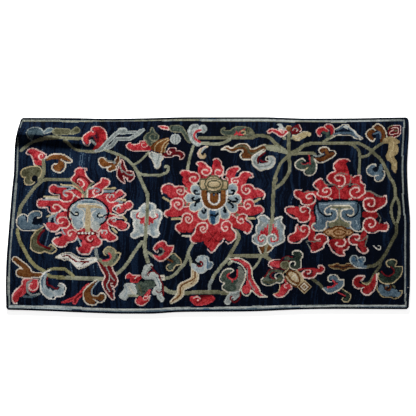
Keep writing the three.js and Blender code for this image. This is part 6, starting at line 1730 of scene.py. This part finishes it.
@dataclass
class IndigoField:
    """How faded the indigo field is, in streaks along the weft that sway a little."""

    streaks: tuple[Streaks, ...] = (
        Streaks(26.0, 5.0, 0.35), Streaks(9.0, 1.6, 0.42), Streaks(6.0, 1.0, 0.42))
    patches: tuple[FieldPatch, ...] = (
        FieldPatch(-58.0, 21.0, 12.0, 10.0, 1.1), FieldPatch(-25.0, 28.0, 25.0, 16.0, -0.6),
        FieldPatch(0.0, 26.0, 20.0, 15.0, -0.6), FieldPatch(-60.0, -24.0, 20.0, 14.0, 0.1),
        FieldPatch(-80.0, 10.0, 8.0, 30.0, 0.3), FieldPatch(15.0, 24.0, 14.0, 8.0, 0.2),
        FieldPatch(10.0, -30.0, 34.0, 14.0, -0.7), FieldPatch(-8.0, -15.0, 20.0, 40.0, -0.4),
        FieldPatch(62.0, -25.0, 30.0, 40.0, -1.5), FieldPatch(62.0, 25.0, 30.0, 25.0, -0.6))
    half_width: float = 46.0
    slanted_half: float = 78.0
    slant: float = 0.35
    wide_sway: tuple[float, int] = (2.2, 12)
    fine_sway: tuple[float, int] = (1.2, 40)
    most_sway: float = 12.0
    start: float = 45.0
    reach: float = 100.0
    streak_gain: float = 1.25
    grain: float = 0.2
    contrast: float = 1.6

    def sway(self, x: np.ndarray, y: np.ndarray, rng: np.random.Generator) -> np.ndarray:
        """Gives how far the weft wanders from a straight row.

        Args:
            x: the knots' places along the rug in centimetres.
            y: their places across it.
            rng: the source of the sway.

        Returns:
            The sway of each knot, in knots.
        """
        (wide, wide_count), (fine, fine_count) = self.wide_sway, self.fine_sway
        half, slanted = self.half_width, self.slanted_half
        sway = np.interp(y, np.linspace(-half, half, wide_count), rng.normal(0, wide, wide_count))
        sway += np.interp(y + x * self.slant, np.linspace(-slanted, slanted, fine_count),
                          rng.normal(0, fine, fine_count))
        return sway

    def tone(self, x: np.ndarray, y: np.ndarray, column: np.ndarray) -> np.ndarray:
        """Gives how faded the field is.

        Args:
            x: the knots' places along the rug in centimetres.
            y: their places across it.
            column: the weft row that each knot stands in.

        Returns:
            A tone for each knot, from 0, deep, to 1, faded.
        """
        rng = np.random.default_rng(SEED)
        sway = self.sway(x, y, rng)
        tone = np.zeros(x.shape)
        for kind in self.streaks:
            lane = (column + sway + self.most_sway) / kind.width
            lanes = int(lane.max()) + 3
            noise = rng.normal(size=(lanes, int(self.reach / kind.run) + 3))
            shift = rng.random(lanes) * kind.run
            beside = lane.astype(int)
            aside = lane - beside
            for one, part in ((beside, 1 - aside), (beside + 1, aside)):
                place = (y + self.start + shift[one]) / kind.run
                low = np.clip(place.astype(int), 0, noise.shape[1] - 2)
                share = eased(place - low)
                streak = noise[one, low] * (1 - share) + noise[one, low + 1] * share
                tone += kind.weight * part * self.streak_gain * streak
        tone += self.grain * rng.normal(size=x.shape)
        for patch in self.patches:
            off_x, off_y = (x - patch.x) / patch.reach_x, (y - patch.y) / patch.reach_y
            tone += patch.strength * np.exp(-off_x ** 2 - off_y ** 2)
        return 1 / (1 + np.exp(-self.contrast * tone))


@dataclass
class Pattern:
    """Works out which yarn a knot takes."""

    layers: list[Layer] = field(default_factory=picture)
    deep_share: float = 0.42
    faded_share: float = 0.93

    def yarns(self, x: np.ndarray, y: np.ndarray, tone: np.ndarray) -> np.ndarray:
        """Chooses each knot's yarn.

        Args:
            x: the knots' places along the rug in centimetres.
            y: their places across it.
            tone: how faded the field is there, from 0 to 1.

        Returns:
            For each knot, its yarn's place in the list of yarns.
        """
        chosen = np.full(x.shape, YARNS.index(Yarn.INDIGO))
        chosen[tone < self.deep_share] = YARNS.index(Yarn.DEEP_INDIGO)
        chosen[tone > self.faded_share] = YARNS.index(Yarn.FADED_INDIGO)
        for layer in self.layers:
            self.paint(layer, x, y, chosen)
        return chosen

    def paint(self, layer: Layer, x: np.ndarray, y: np.ndarray, chosen: np.ndarray) -> None:
        """Knots one layer over what is there.

        Args:
            layer: the layer.
            x: the knots' places along the rug in centimetres.
            y: their places across it.
            chosen: each knot's yarn, which this changes.
        """
        outside = np.full(x.shape, np.inf)
        for each in layer.brushes:
            run = each.line()
            room = run[:, 2].max() + layer.rim_out
            low, high = run[:, :2].min(axis=0) - room, run[:, :2].max(axis=0) + room
            near = np.flatnonzero((x > low[0]) & (x < high[0]) & (y > low[1]) & (y < high[1]))
            if len(near):
                outside[near] = np.minimum(outside[near], each.outside(x[near], y[near]))
        if layer.rim is None:
            chosen[outside <= 0] = YARNS.index(layer.yarn)
            return
        chosen[outside <= layer.rim_out] = YARNS.index(layer.rim)
        chosen[outside <= -layer.rim_in] = YARNS.index(layer.yarn)


def new_piece(name: str, points: np.ndarray, faces: np.ndarray, smooth: bool = True) -> bpy.types.Object:
    """Makes a piece from faces that all have the same number of corners.

    Args:
        name: the piece's name.
        points: one row of X, Y and Z for each point, in metres.
        faces: one row of point numbers for each face.
        smooth: whether its faces are shaded smooth.

    Returns:
        The new object, in the scene.
    """
    mesh = bpy.data.meshes.new(name)
    mesh.vertices.add(len(points))
    mesh.vertices.foreach_set("co", points.astype(np.float32).ravel())
    mesh.loops.add(faces.size)
    mesh.loops.foreach_set("vertex_index", faces.astype(np.int32).ravel())
    mesh.polygons.add(len(faces))
    mesh.polygons.foreach_set("loop_start", np.arange(0, faces.size, faces.shape[1], dtype=np.int32))
    mesh.polygons.foreach_set("use_smooth", np.full(len(faces), smooth))
    mesh.update(calc_edges=True)
    mesh.validate()
    made = bpy.data.objects.new(name, mesh)
    bpy.context.scene.collection.objects.link(made)
    return made


def add_lots(piece: bpy.types.Object, lots: np.ndarray, points_each: int) -> None:
    """Gives a piece its dye lots, which on the edging also hold the painted shade of its grooves.

    Args:
        piece: the piece.
        lots: from 0, deepest, to 1, faded, one for each knot or ring.
        points_each: how many points in a row share a lot.
    """
    attribute = piece.data.attributes.new(LOT, "FLOAT", "POINT")
    attribute.data.foreach_set("value", np.repeat(lots, points_each).astype(np.float32))


def add_plan_map(piece: bpy.types.Object, hidden: np.ndarray) -> None:
    """Gives a piece a map of the rug's plan, with a little room round it.

    Args:
        piece: the piece.
        hidden: for each face corner, whether it is on a face inside the rug, which gets no room.
    """
    spare_room, hidden_place = 1.02, 0.001
    mesh = piece.data
    places = np.empty(len(mesh.vertices) * 3, dtype=np.float32)
    mesh.vertices.foreach_get("co", places)
    corners = np.empty(len(mesh.loops), dtype=np.int32)
    mesh.loops.foreach_get("vertex_index", corners)
    plan = places.reshape(-1, 3)[corners, :2] / (LAY.length * MM * spare_room) + 0.5
    plan[hidden] = hidden_place
    layer = mesh.uv_layers.new(name="OFBake")
    layer.data.foreach_set("uv", plan.astype(np.float32).ravel())


@dataclass
class KnottedPile:
    """The pile: one small tuft for each knot, in rows along the weft, a piece for each yarn."""

    pitch: float = 3.5
    tuft_height: float = 1.7
    tuft_spread: float = 1.14
    tuft_sides: tuple[tuple[int, int, int], ...] = ((0, 1, 4), (1, 2, 4), (2, 3, 4), (3, 0, 4))
    tuft_bottom: tuple[tuple[int, int, int], ...] = ((0, 2, 1), (0, 3, 2))
    height_jitter: float = 0.22
    lowest_tip: float = -1.2
    highest_tip: float = 0.5
    place_jitter: float = 0.28
    carve: float = 0.55
    even_lot: float = 0.5
    field_share: float = 0.25
    mottle_share: float = 0.13
    mottles: tuple[tuple[float, float], ...] = ((1.1, 0.8), (2.6, 0.7))
    mottle_gain: float = 1.5
    mottle_start: tuple[float, float] = (90.0, 46.0)
    mottle_reach: tuple[float, float] = (190.0, 100.0)
    low_side_paler: float = 0.12
    low_side_reach: float = 42.0
    field_grain: float = 0.13
    motif_grain: float = 0.19
    indigo: IndigoField = field(default_factory=IndigoField)
    pattern: Pattern = field(default_factory=Pattern)

    def grid(self) -> tuple[np.ndarray, np.ndarray, np.ndarray, np.ndarray]:
        """Gives the knots' places on the even rectangle.

        Returns:
            X and Y in millimetres, and the number of the column and the row of each.
        """
        half_x, half_y = LAY.body_half
        columns, rows = round(2 * half_x / self.pitch), round(2 * half_y / self.pitch)
        column, row = np.meshgrid(np.arange(columns), np.arange(rows), indexing="ij")
        x = -half_x + (column + 0.5) * 2 * half_x / columns
        y = -half_y + (row + 0.5) * 2 * half_y / rows
        return x.ravel(), y.ravel(), column.ravel(), row.ravel()

    def chart(self) -> dict[str, np.ndarray]:
        """Works out every knot: its place, its yarn, its dye lot and its height.

        Returns:
            The columns of the knots' table, by name.
        """
        x, y, column, row = self.grid()
        lying_x, lying_y = (places / CM for places in LAY.in_outline(x, y))
        tone = self.indigo.tone(lying_x, lying_y, column)
        yarn = self.pattern.yarns(lying_x, lying_y, tone)
        rng = np.random.default_rng(SEED + 1)
        plan = yarn.reshape(column.max() + 1, row.max() + 1)
        edge = np.zeros(plan.shape, dtype=bool)
        edge[1:] |= plan[1:] != plan[:-1]
        edge[:-1] |= plan[1:] != plan[:-1]
        edge[:, 1:] |= plan[:, 1:] != plan[:, :-1]
        edge[:, :-1] |= plan[:, 1:] != plan[:, :-1]
        field_yarns = (Yarn.DEEP_INDIGO, Yarn.INDIGO, Yarn.FADED_INDIGO)
        in_field = np.isin(yarn, [YARNS.index(each) for each in field_yarns])
        mottle = self.mottling(lying_x, lying_y, rng)
        motif = (self.even_lot + self.field_share * (tone - 0.5) + self.mottle_share * mottle
                 - self.low_side_paler * lying_y / self.low_side_reach)
        grain = np.where(in_field, self.field_grain, self.motif_grain)
        lot = np.where(in_field, tone, motif) + rng.normal(0, 1, x.shape) * grain
        height = rng.normal(0, self.height_jitter, x.shape) - self.carve * (edge.ravel() & ~in_field)
        return {"x": x, "y": y, "yarn": yarn, "lot": np.clip(lot, 0, 1), "height": height}

    def mottling(self, x: np.ndarray, y: np.ndarray, rng: np.random.Generator) -> np.ndarray:
        """Gives the dye's soft blotches, a centimetre or two wide.

        Args:
            x: the knots' places along the rug in centimetres.
            y: their places across it.
            rng: the source of the blotches.

        Returns:
            For each knot, how far it is off the even dye, mostly from -2 to 2.
        """
        total = np.zeros(x.shape)
        for size, weight in self.mottles:
            blotches = rng.normal(size=tuple(int(reach / size) for reach in self.mottle_reach))
            along, across = (x + self.mottle_start[0]) / size, (y + self.mottle_start[1]) / size
            column, row = along.astype(int), across.astype(int)
            share_x, share_y = along - column, across - row
            lower = blotches[column, row] * (1 - share_x) + blotches[column + 1, row] * share_x
            upper = blotches[column, row + 1] * (1 - share_x) + blotches[column + 1, row + 1] * share_x
            total += weight * (lower * (1 - share_y) + upper * share_y) * self.mottle_gain
        return total

    def tufts(self, chart: dict[str, np.ndarray], chosen: np.ndarray,
              rng: np.random.Generator) -> tuple[np.ndarray, np.ndarray]:
        """Makes the tufts of some knots, each with four corners and a tip.

        Args:
            chart: the knots' table.
            chosen: the numbers of the knots.
            rng: the source of their unevenness.

        Returns:
            The points in metres, and the triangles.
        """
        half = self.pitch * self.tuft_spread / 2
        corners = np.array([(-half, -half), (half, -half), (half, half), (-half, half), (0, 0)])
        count, points_each = len(chosen), len(corners)
        x = chart["x"][chosen, None] + corners[:, 0]
        y = chart["y"][chosen, None] + corners[:, 1]
        jitter = rng.normal(0, self.place_jitter, (2, count))
        x[:, -1] += jitter[0]
        y[:, -1] += jitter[1]
        z = np.full((count, points_each), LAY.thickness - self.tuft_height)
        z[:, -1] = LAY.thickness + np.clip(chart["height"][chosen], self.lowest_tip, self.highest_tip)
        points = LAY.laid(x.ravel(), y.ravel(), z.ravel())
        triangles = np.array(self.tuft_sides + self.tuft_bottom)
        faces = (np.arange(count)[:, None, None] * points_each + triangles).reshape(-1, 3)
        return points, faces

    def build(self) -> list[bpy.types.Object]:
        """Builds the pile.

        Returns:
            One piece for each yarn that the pattern uses.
        """
        chart = self.chart()
        rng = np.random.default_rng(SEED + 2)
        inside = np.repeat([False] * len(self.tuft_sides) + [True] * len(self.tuft_bottom), 3)
        pieces = []
        for number, yarn in enumerate(YARNS):
            chosen = np.flatnonzero(chart["yarn"] == number)
            if not len(chosen):
                continue
            points, faces = self.tufts(chart, chosen, rng)
            piece = new_piece(f"pile_{yarn.label}", points, faces)
            add_lots(piece, chart["lot"][chosen], len(points) // len(chosen))
            add_plan_map(piece, np.tile(inside, len(chosen)))
            piece.data.materials.append(yarn.finish.material(f"wool_{yarn.label}"))
            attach(piece, BODY)
            log.info("%s: %d knots", piece.name, len(chosen))
            pieces.append(piece)
        return pieces


@dataclass
class WovenGround:
    """The woven foundation under the tufts, whose back shows the pattern in flat knots."""

    cell: float = 8.0
    below_tufts: float = 1.5
    back_tone: float = 0.6
    roughness: float = 0.95
    specular: float = 0.15
    weft_scale: float = 90.0
    weft_sway: float = 0.6
    weft_shade_tones: tuple[float, float] = (0.55, 0.95)
    weft_strength: float = 0.6
    weft_depth: float = 0.0008
    colour_name: str = "back_colour"
    pattern: Pattern = field(default_factory=Pattern)

    def grid(self) -> tuple[np.ndarray, np.ndarray, np.ndarray]:
        """Gives the slab's grid on the even rectangle, with its corners drawn in.

        Returns:
            X and Y of its points in millimetres, and their numbers, one row for each line across the rug.
        """
        half_x, half_y = LAY.body_half
        columns, rows = round(2 * half_x / self.cell), round(2 * half_y / self.cell)
        line_x = np.linspace(-half_x, half_x, columns + 1)
        line_y = np.linspace(-half_y, half_y, rows + 1)
        x, y = np.meshgrid(line_x, line_y, indexing="ij")
        drawn_in = (LAY.corner_radius - LAY.body_inset) * (1 - math.sqrt(0.5))
        for column in (0, -1):
            for row in (0, -1):
                x[column, row] -= math.copysign(drawn_in, x[column, row])
                y[column, row] -= math.copysign(drawn_in, y[column, row])
        return x.ravel(), y.ravel(), np.arange(x.size).reshape(x.shape)

    def build(self) -> bpy.types.Object:
        """Builds the ground as one closed slab that stands for the knotted body.

        Returns:
            The piece.
        """
        x, y, number = self.grid()
        top = LAY.laid(x, y, np.full(x.shape, LAY.thickness - self.below_tufts))
        back = LAY.laid(x, y, np.zeros(x.shape))
        a, b, c, d = number[:-1, :-1], number[1:, :-1], number[1:, 1:], number[:-1, 1:]
        up = np.stack([a, b, c, d], axis=-1).reshape(-1, 4)
        rim = np.concatenate([number[:-1, 0], number[-1, :-1], number[:0:-1, -1], number[0, :0:-1]])
        ahead = np.roll(rim, -1)
        walls = np.stack([rim + x.size, ahead + x.size, ahead, rim], axis=-1)
        faces = np.vstack([up, up[:, ::-1] + x.size, walls])
        piece = new_piece("woven_ground", np.vstack([top, back]), faces)
        self.dress(piece, x, y)
        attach(piece, BODY)
        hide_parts("knotted_body")
        log.info("%s: %d faces", piece.name, len(faces))
        return piece

    def dress(self, piece: bpy.types.Object, x: np.ndarray, y: np.ndarray) -> None:
        """Gives the ground its weave, in the pattern's colours.

        Args:
            piece: the ground.
            x: its points along the even rectangle, of one face.
            y: its points across it.
        """
        lying_x, lying_y = LAY.in_outline(x, y)
        yarn = self.pattern.yarns(lying_x / CM, lying_y / CM, np.full(x.shape, self.back_tone))
        colours = np.array([(*each.finish.even, 1.0) for each in YARNS])[yarn]
        attribute = piece.data.color_attributes.new(self.colour_name, "FLOAT_COLOR", "POINT")
        attribute.data.foreach_set("color", np.vstack([colours, colours]).astype(np.float32).ravel())
        made = Shading("woven_wool", self.roughness, self.specular)
        weft = made.texture("ShaderNodeTexWave", Scale=self.weft_scale, Distortion=self.weft_sway)
        weft.node.bands_direction = "X"
        # Painted shade: the weave's low bands, which the same wave sinks in relief, are darker.
        made.shade(made.carried(self.colour_name, "Color"), weft, (0.0, 1.0), self.weft_shade_tones)
        made.relief(weft, self.weft_strength, self.weft_depth)
        piece.data.materials.append(made.material)


class Side(Enum):
    """The four bound sides, by their node."""

    NEAR = "edging_near"
    FAR = "edging_far"
    RIGHT = "edging_right"
    LEFT = "edging_left"

    @property
    def halves(self) -> tuple[float, float]:
        """Half the rug's measure along the side, and half its measure across it."""
        halves = (LAY.length / 2, LAY.width / 2)
        return halves if self in (Side.NEAR, Side.FAR) else halves[::-1]


@dataclass
class WrappedEdging:
    """The wool yarn wrapped over each side, turn beside turn."""

    turn_pitch: float = 4.2
    rings_per_turn: int = 3
    turn_depth: float = 0.75
    depth_spread: float = 0.12
    slant: float = 3.2
    upright_end: float = 12.0
    lowest: float = 0.05
    even_tone: float = 0.42
    tone_spread: float = 0.12
    # How much lower, and so darker, the groove rings' lot is: painted shade in the grooves between turns.
    painted_groove_shade: float = 0.3
    section: tuple[tuple[float, float], ...] = (
        (8.0, 0.4), (5.6, 0.2), (3.2, 0.25), (1.3, 1.5), (0.35, 4.0), (0.2, 7.0), (0.8, 9.6), (2.2, 11.7),
        (4.6, 12.6), (6.6, 12.5), (8.0, 12.1), (8.0, 6.0))
    wrapped_from: float = 1.0
    finish: WoolFinish = WoolFinish(dye(4, 7, 14), dye(13, 20, 33), dye(52, 62, 72))

    def station(self, side: Side, along: np.ndarray, inward: np.ndarray) -> tuple[np.ndarray, np.ndarray]:
        """Finds places on the even rectangle from a side's own measures.

        Args:
            side: the side.
            along: how far round the rectangle from the side's middle, anticlockwise.
            inward: how far inside the rectangle's edge.

        Returns:
            X and Y on the even rectangle.
        """
        half_long, half_short = side.halves
        radius = LAY.corner_radius
        straight = half_long - radius
        turned = np.clip((np.abs(along) - straight) / radius, 0, math.pi / 4)
        reach = np.minimum(np.abs(along), straight) + (radius - inward) * np.sin(turned)
        across = -half_short + radius - (radius - inward) * np.cos(turned)
        reach = reach * np.sign(along)
        return {
            Side.NEAR: (reach, across),
            Side.FAR: (-reach, -across),
            Side.RIGHT: (-across, reach),
            Side.LEFT: (across, -reach),
        }[side]

    def rings(self, side: Side, along: np.ndarray, ripple: np.ndarray) -> np.ndarray:
        """Places the points of a roll's rings.

        Args:
            side: the side.
            along: where each ring stands, from the side's middle.
            ripple: how far each ring stands out of the even section.

        Returns:
            One row of X, Y and Z in metres for each point.
        """
        section = np.array(self.section)
        away = section - np.array([LAY.edging_width / 2, LAY.thickness / 2])
        away = away / np.linalg.norm(away, axis=1, keepdims=True)
        outer = (section[:, 0] < LAY.edging_width - 0.1) & (section[:, 1] > self.wrapped_from)
        drawn = section[None] + away[None] * (ripple[:, None] * outer[None])[:, :, None]
        fade = np.clip((along[-1] - np.abs(along)) / self.upright_end, 0, 1)
        lean = self.slant * (section[:, 1] / LAY.thickness - 0.5)
        placed = along[:, None] + lean[None] * fade[:, None]
        inward, height = drawn[..., 0], np.maximum(drawn[..., 1], self.lowest)
        x, y = self.station(side, placed.ravel(), inward.ravel())
        return LAY.laid(x, y, height.ravel())

    def build(self, side: Side) -> bpy.types.Object:
        """Builds one side's wrapping as a closed roll.

        Args:
            side: the side.

        Returns:
            The piece.
        """
        radius = LAY.corner_radius
        end = side.halves[0] - radius + radius * (math.pi / 4 - LAY.seam_gap / radius)
        turns = round(2 * end / self.turn_pitch)
        rings = turns * self.rings_per_turn + 1
        rng = np.random.default_rng(SEED + 10 + list(Side).index(side))
        swell = np.repeat(rng.normal(1, self.depth_spread, turns + 1), self.rings_per_turn)[:rings]
        groove = np.arange(rings) % self.rings_per_turn == 0
        ripple = np.where(groove, -self.turn_depth, 0.0) * swell
        points = self.rings(side, np.linspace(-end, end, rings), ripple)
        number = np.arange(len(points)).reshape(rings, -1)
        around = np.roll(number, -1, axis=1)
        walls = np.stack([number[:-1], around[:-1], around[1:], number[1:]], axis=-1).reshape(-1, 4)
        piece = new_piece(f"wrapped_{side.value}", points, walls)
        self.close_ends(piece, number)
        tone = np.clip(rng.normal(self.even_tone, self.tone_spread, turns + 1), 0, 1)
        # Painted shade: the grooves between turns get a lower, darker lot.
        tone = np.repeat(tone, self.rings_per_turn)[:rings] - self.painted_groove_shade * groove
        add_lots(piece, np.clip(tone, 0, 1), len(self.section))
        piece.data.materials.append(self.finish.material(f"wrap_{side.value}"))
        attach(piece, BODY)
        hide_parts(side.value)
        log.info("%s: %d turns", piece.name, turns)
        return piece

    def close_ends(self, piece: bpy.types.Object, number: np.ndarray) -> None:
        """Closes a roll's two ends.

        Args:
            piece: the roll.
            number: its point numbers, one row for each ring.
        """
        made = bmesh.new()
        made.from_mesh(piece.data)
        made.verts.ensure_lookup_table()
        for ring in (number[0], number[-1]):
            made.faces.new([made.verts[int(n)] for n in ring])
        bmesh.ops.recalc_face_normals(made, faces=made.faces)
        made.to_mesh(piece.data)
        made.free()


@dataclass(frozen=True)
class SoftLight:
    """A square lamp that faces the rug: its place and its side in metres, and its strength in watts."""

    name: str
    place: tuple[float, float, float]
    size: float
    power: float


@dataclass
class Studio:
    """The pale floor, the soft lights and the camera, with places and sizes in metres."""

    aim: tuple[float, float, float] = (-0.0106, 0.025, 0.0)
    elevation: float = 82.0
    distance: float = 3.0
    lens: float = 60.0
    sensor: float = 36.0
    floor_size: float = 30.0
    floor_drop: float = 0.0004
    floor_shade: float = 0.9
    floor_glow: float = 0.8
    room_light: float = 0.1
    lights: tuple[SoftLight, ...] = (
        SoftLight("key_light", (-0.5, 3.3, 1.55), 0.8, 290.0),
        SoftLight("fill_light", (0.6, -0.4, 3.4), 2.0, 8.0),
    )

    def floor(self) -> None:
        """Lays the floor, which isn't part of the rug."""
        half = self.floor_size / 2
        corners = [(-half, -half), (half, -half), (half, half), (-half, half)]
        points = np.array([(x, y, -self.floor_drop) for x, y in corners])
        floor = new_piece("studio_floor", points, np.array([[0, 1, 2, 3]]), smooth=False)
        made = Shading("pale_floor", roughness=1.0, specular=0.0)
        made.shader.inputs["Base Color"].default_value = (*[self.floor_shade] * 3, 1)
        made.shader.inputs["Emission Color"].default_value = (1, 1, 1, 1)
        made.shader.inputs["Emission Strength"].default_value = self.floor_glow
        floor.data.materials.append(made.material)

    def hang(self, light: SoftLight) -> None:
        """Hangs one light."""
        lamp = bpy.data.lights.new(light.name, "AREA")
        lamp.size = light.size
        lamp.energy = light.power
        self.put(bpy.data.objects.new(light.name, lamp), light.place, (0.0, 0.0, 0.0))

    def put(self, thing: bpy.types.Object, place: tuple[float, float, float],
            aim: tuple[float, float, float]) -> None:
        """Puts a lamp or the camera in its place and turns it.

        Args:
            thing: the lamp or camera.
            place: where it stands.
            aim: what it faces.
        """
        thing.location = place
        thing.rotation_euler = (Vector(aim) - Vector(place)).to_track_quat("-Z", "Y").to_euler()
        bpy.context.scene.collection.objects.link(thing)

    def camera(self) -> None:
        """Sets up the camera at the photograph's angle."""
        tilt = math.radians(self.elevation)
        place = (self.aim[0], self.aim[1] - self.distance * math.cos(tilt),
                 self.aim[2] + self.distance * math.sin(tilt))
        lens = bpy.data.cameras.new("studio_camera")
        lens.lens = self.lens
        lens.sensor_width = self.sensor
        camera = bpy.data.objects.new("studio_camera", lens)
        self.put(camera, place, self.aim)
        bpy.context.scene.camera = camera

    def build(self) -> None:
        """Sets up floor, lights, surroundings and camera."""
        self.floor()
        for light in self.lights:
            self.hang(light)
        scene = bpy.context.scene
        world = bpy.data.worlds.new("studio_world")
        world.use_nodes = True
        world.node_tree.nodes["Background"].inputs["Color"].default_value = (1, 1, 1, 1)
        world.node_tree.nodes["Background"].inputs["Strength"].default_value = self.room_light
        scene.world = world
        scene.view_settings.view_transform = "Standard"
        self.camera()


def main() -> None:
    """Builds the rug and its studio, and reports each piece."""
    logging.basicConfig(level=logging.INFO, format="%(name)s: %(message)s")
    Studio().build()
    pile = KnottedPile().build()
    ground = WovenGround().build()
    edging = WrappedEdging()
    wrapped = [edging.build(side) for side in Side]


if __name__ == "__main__":
    main()
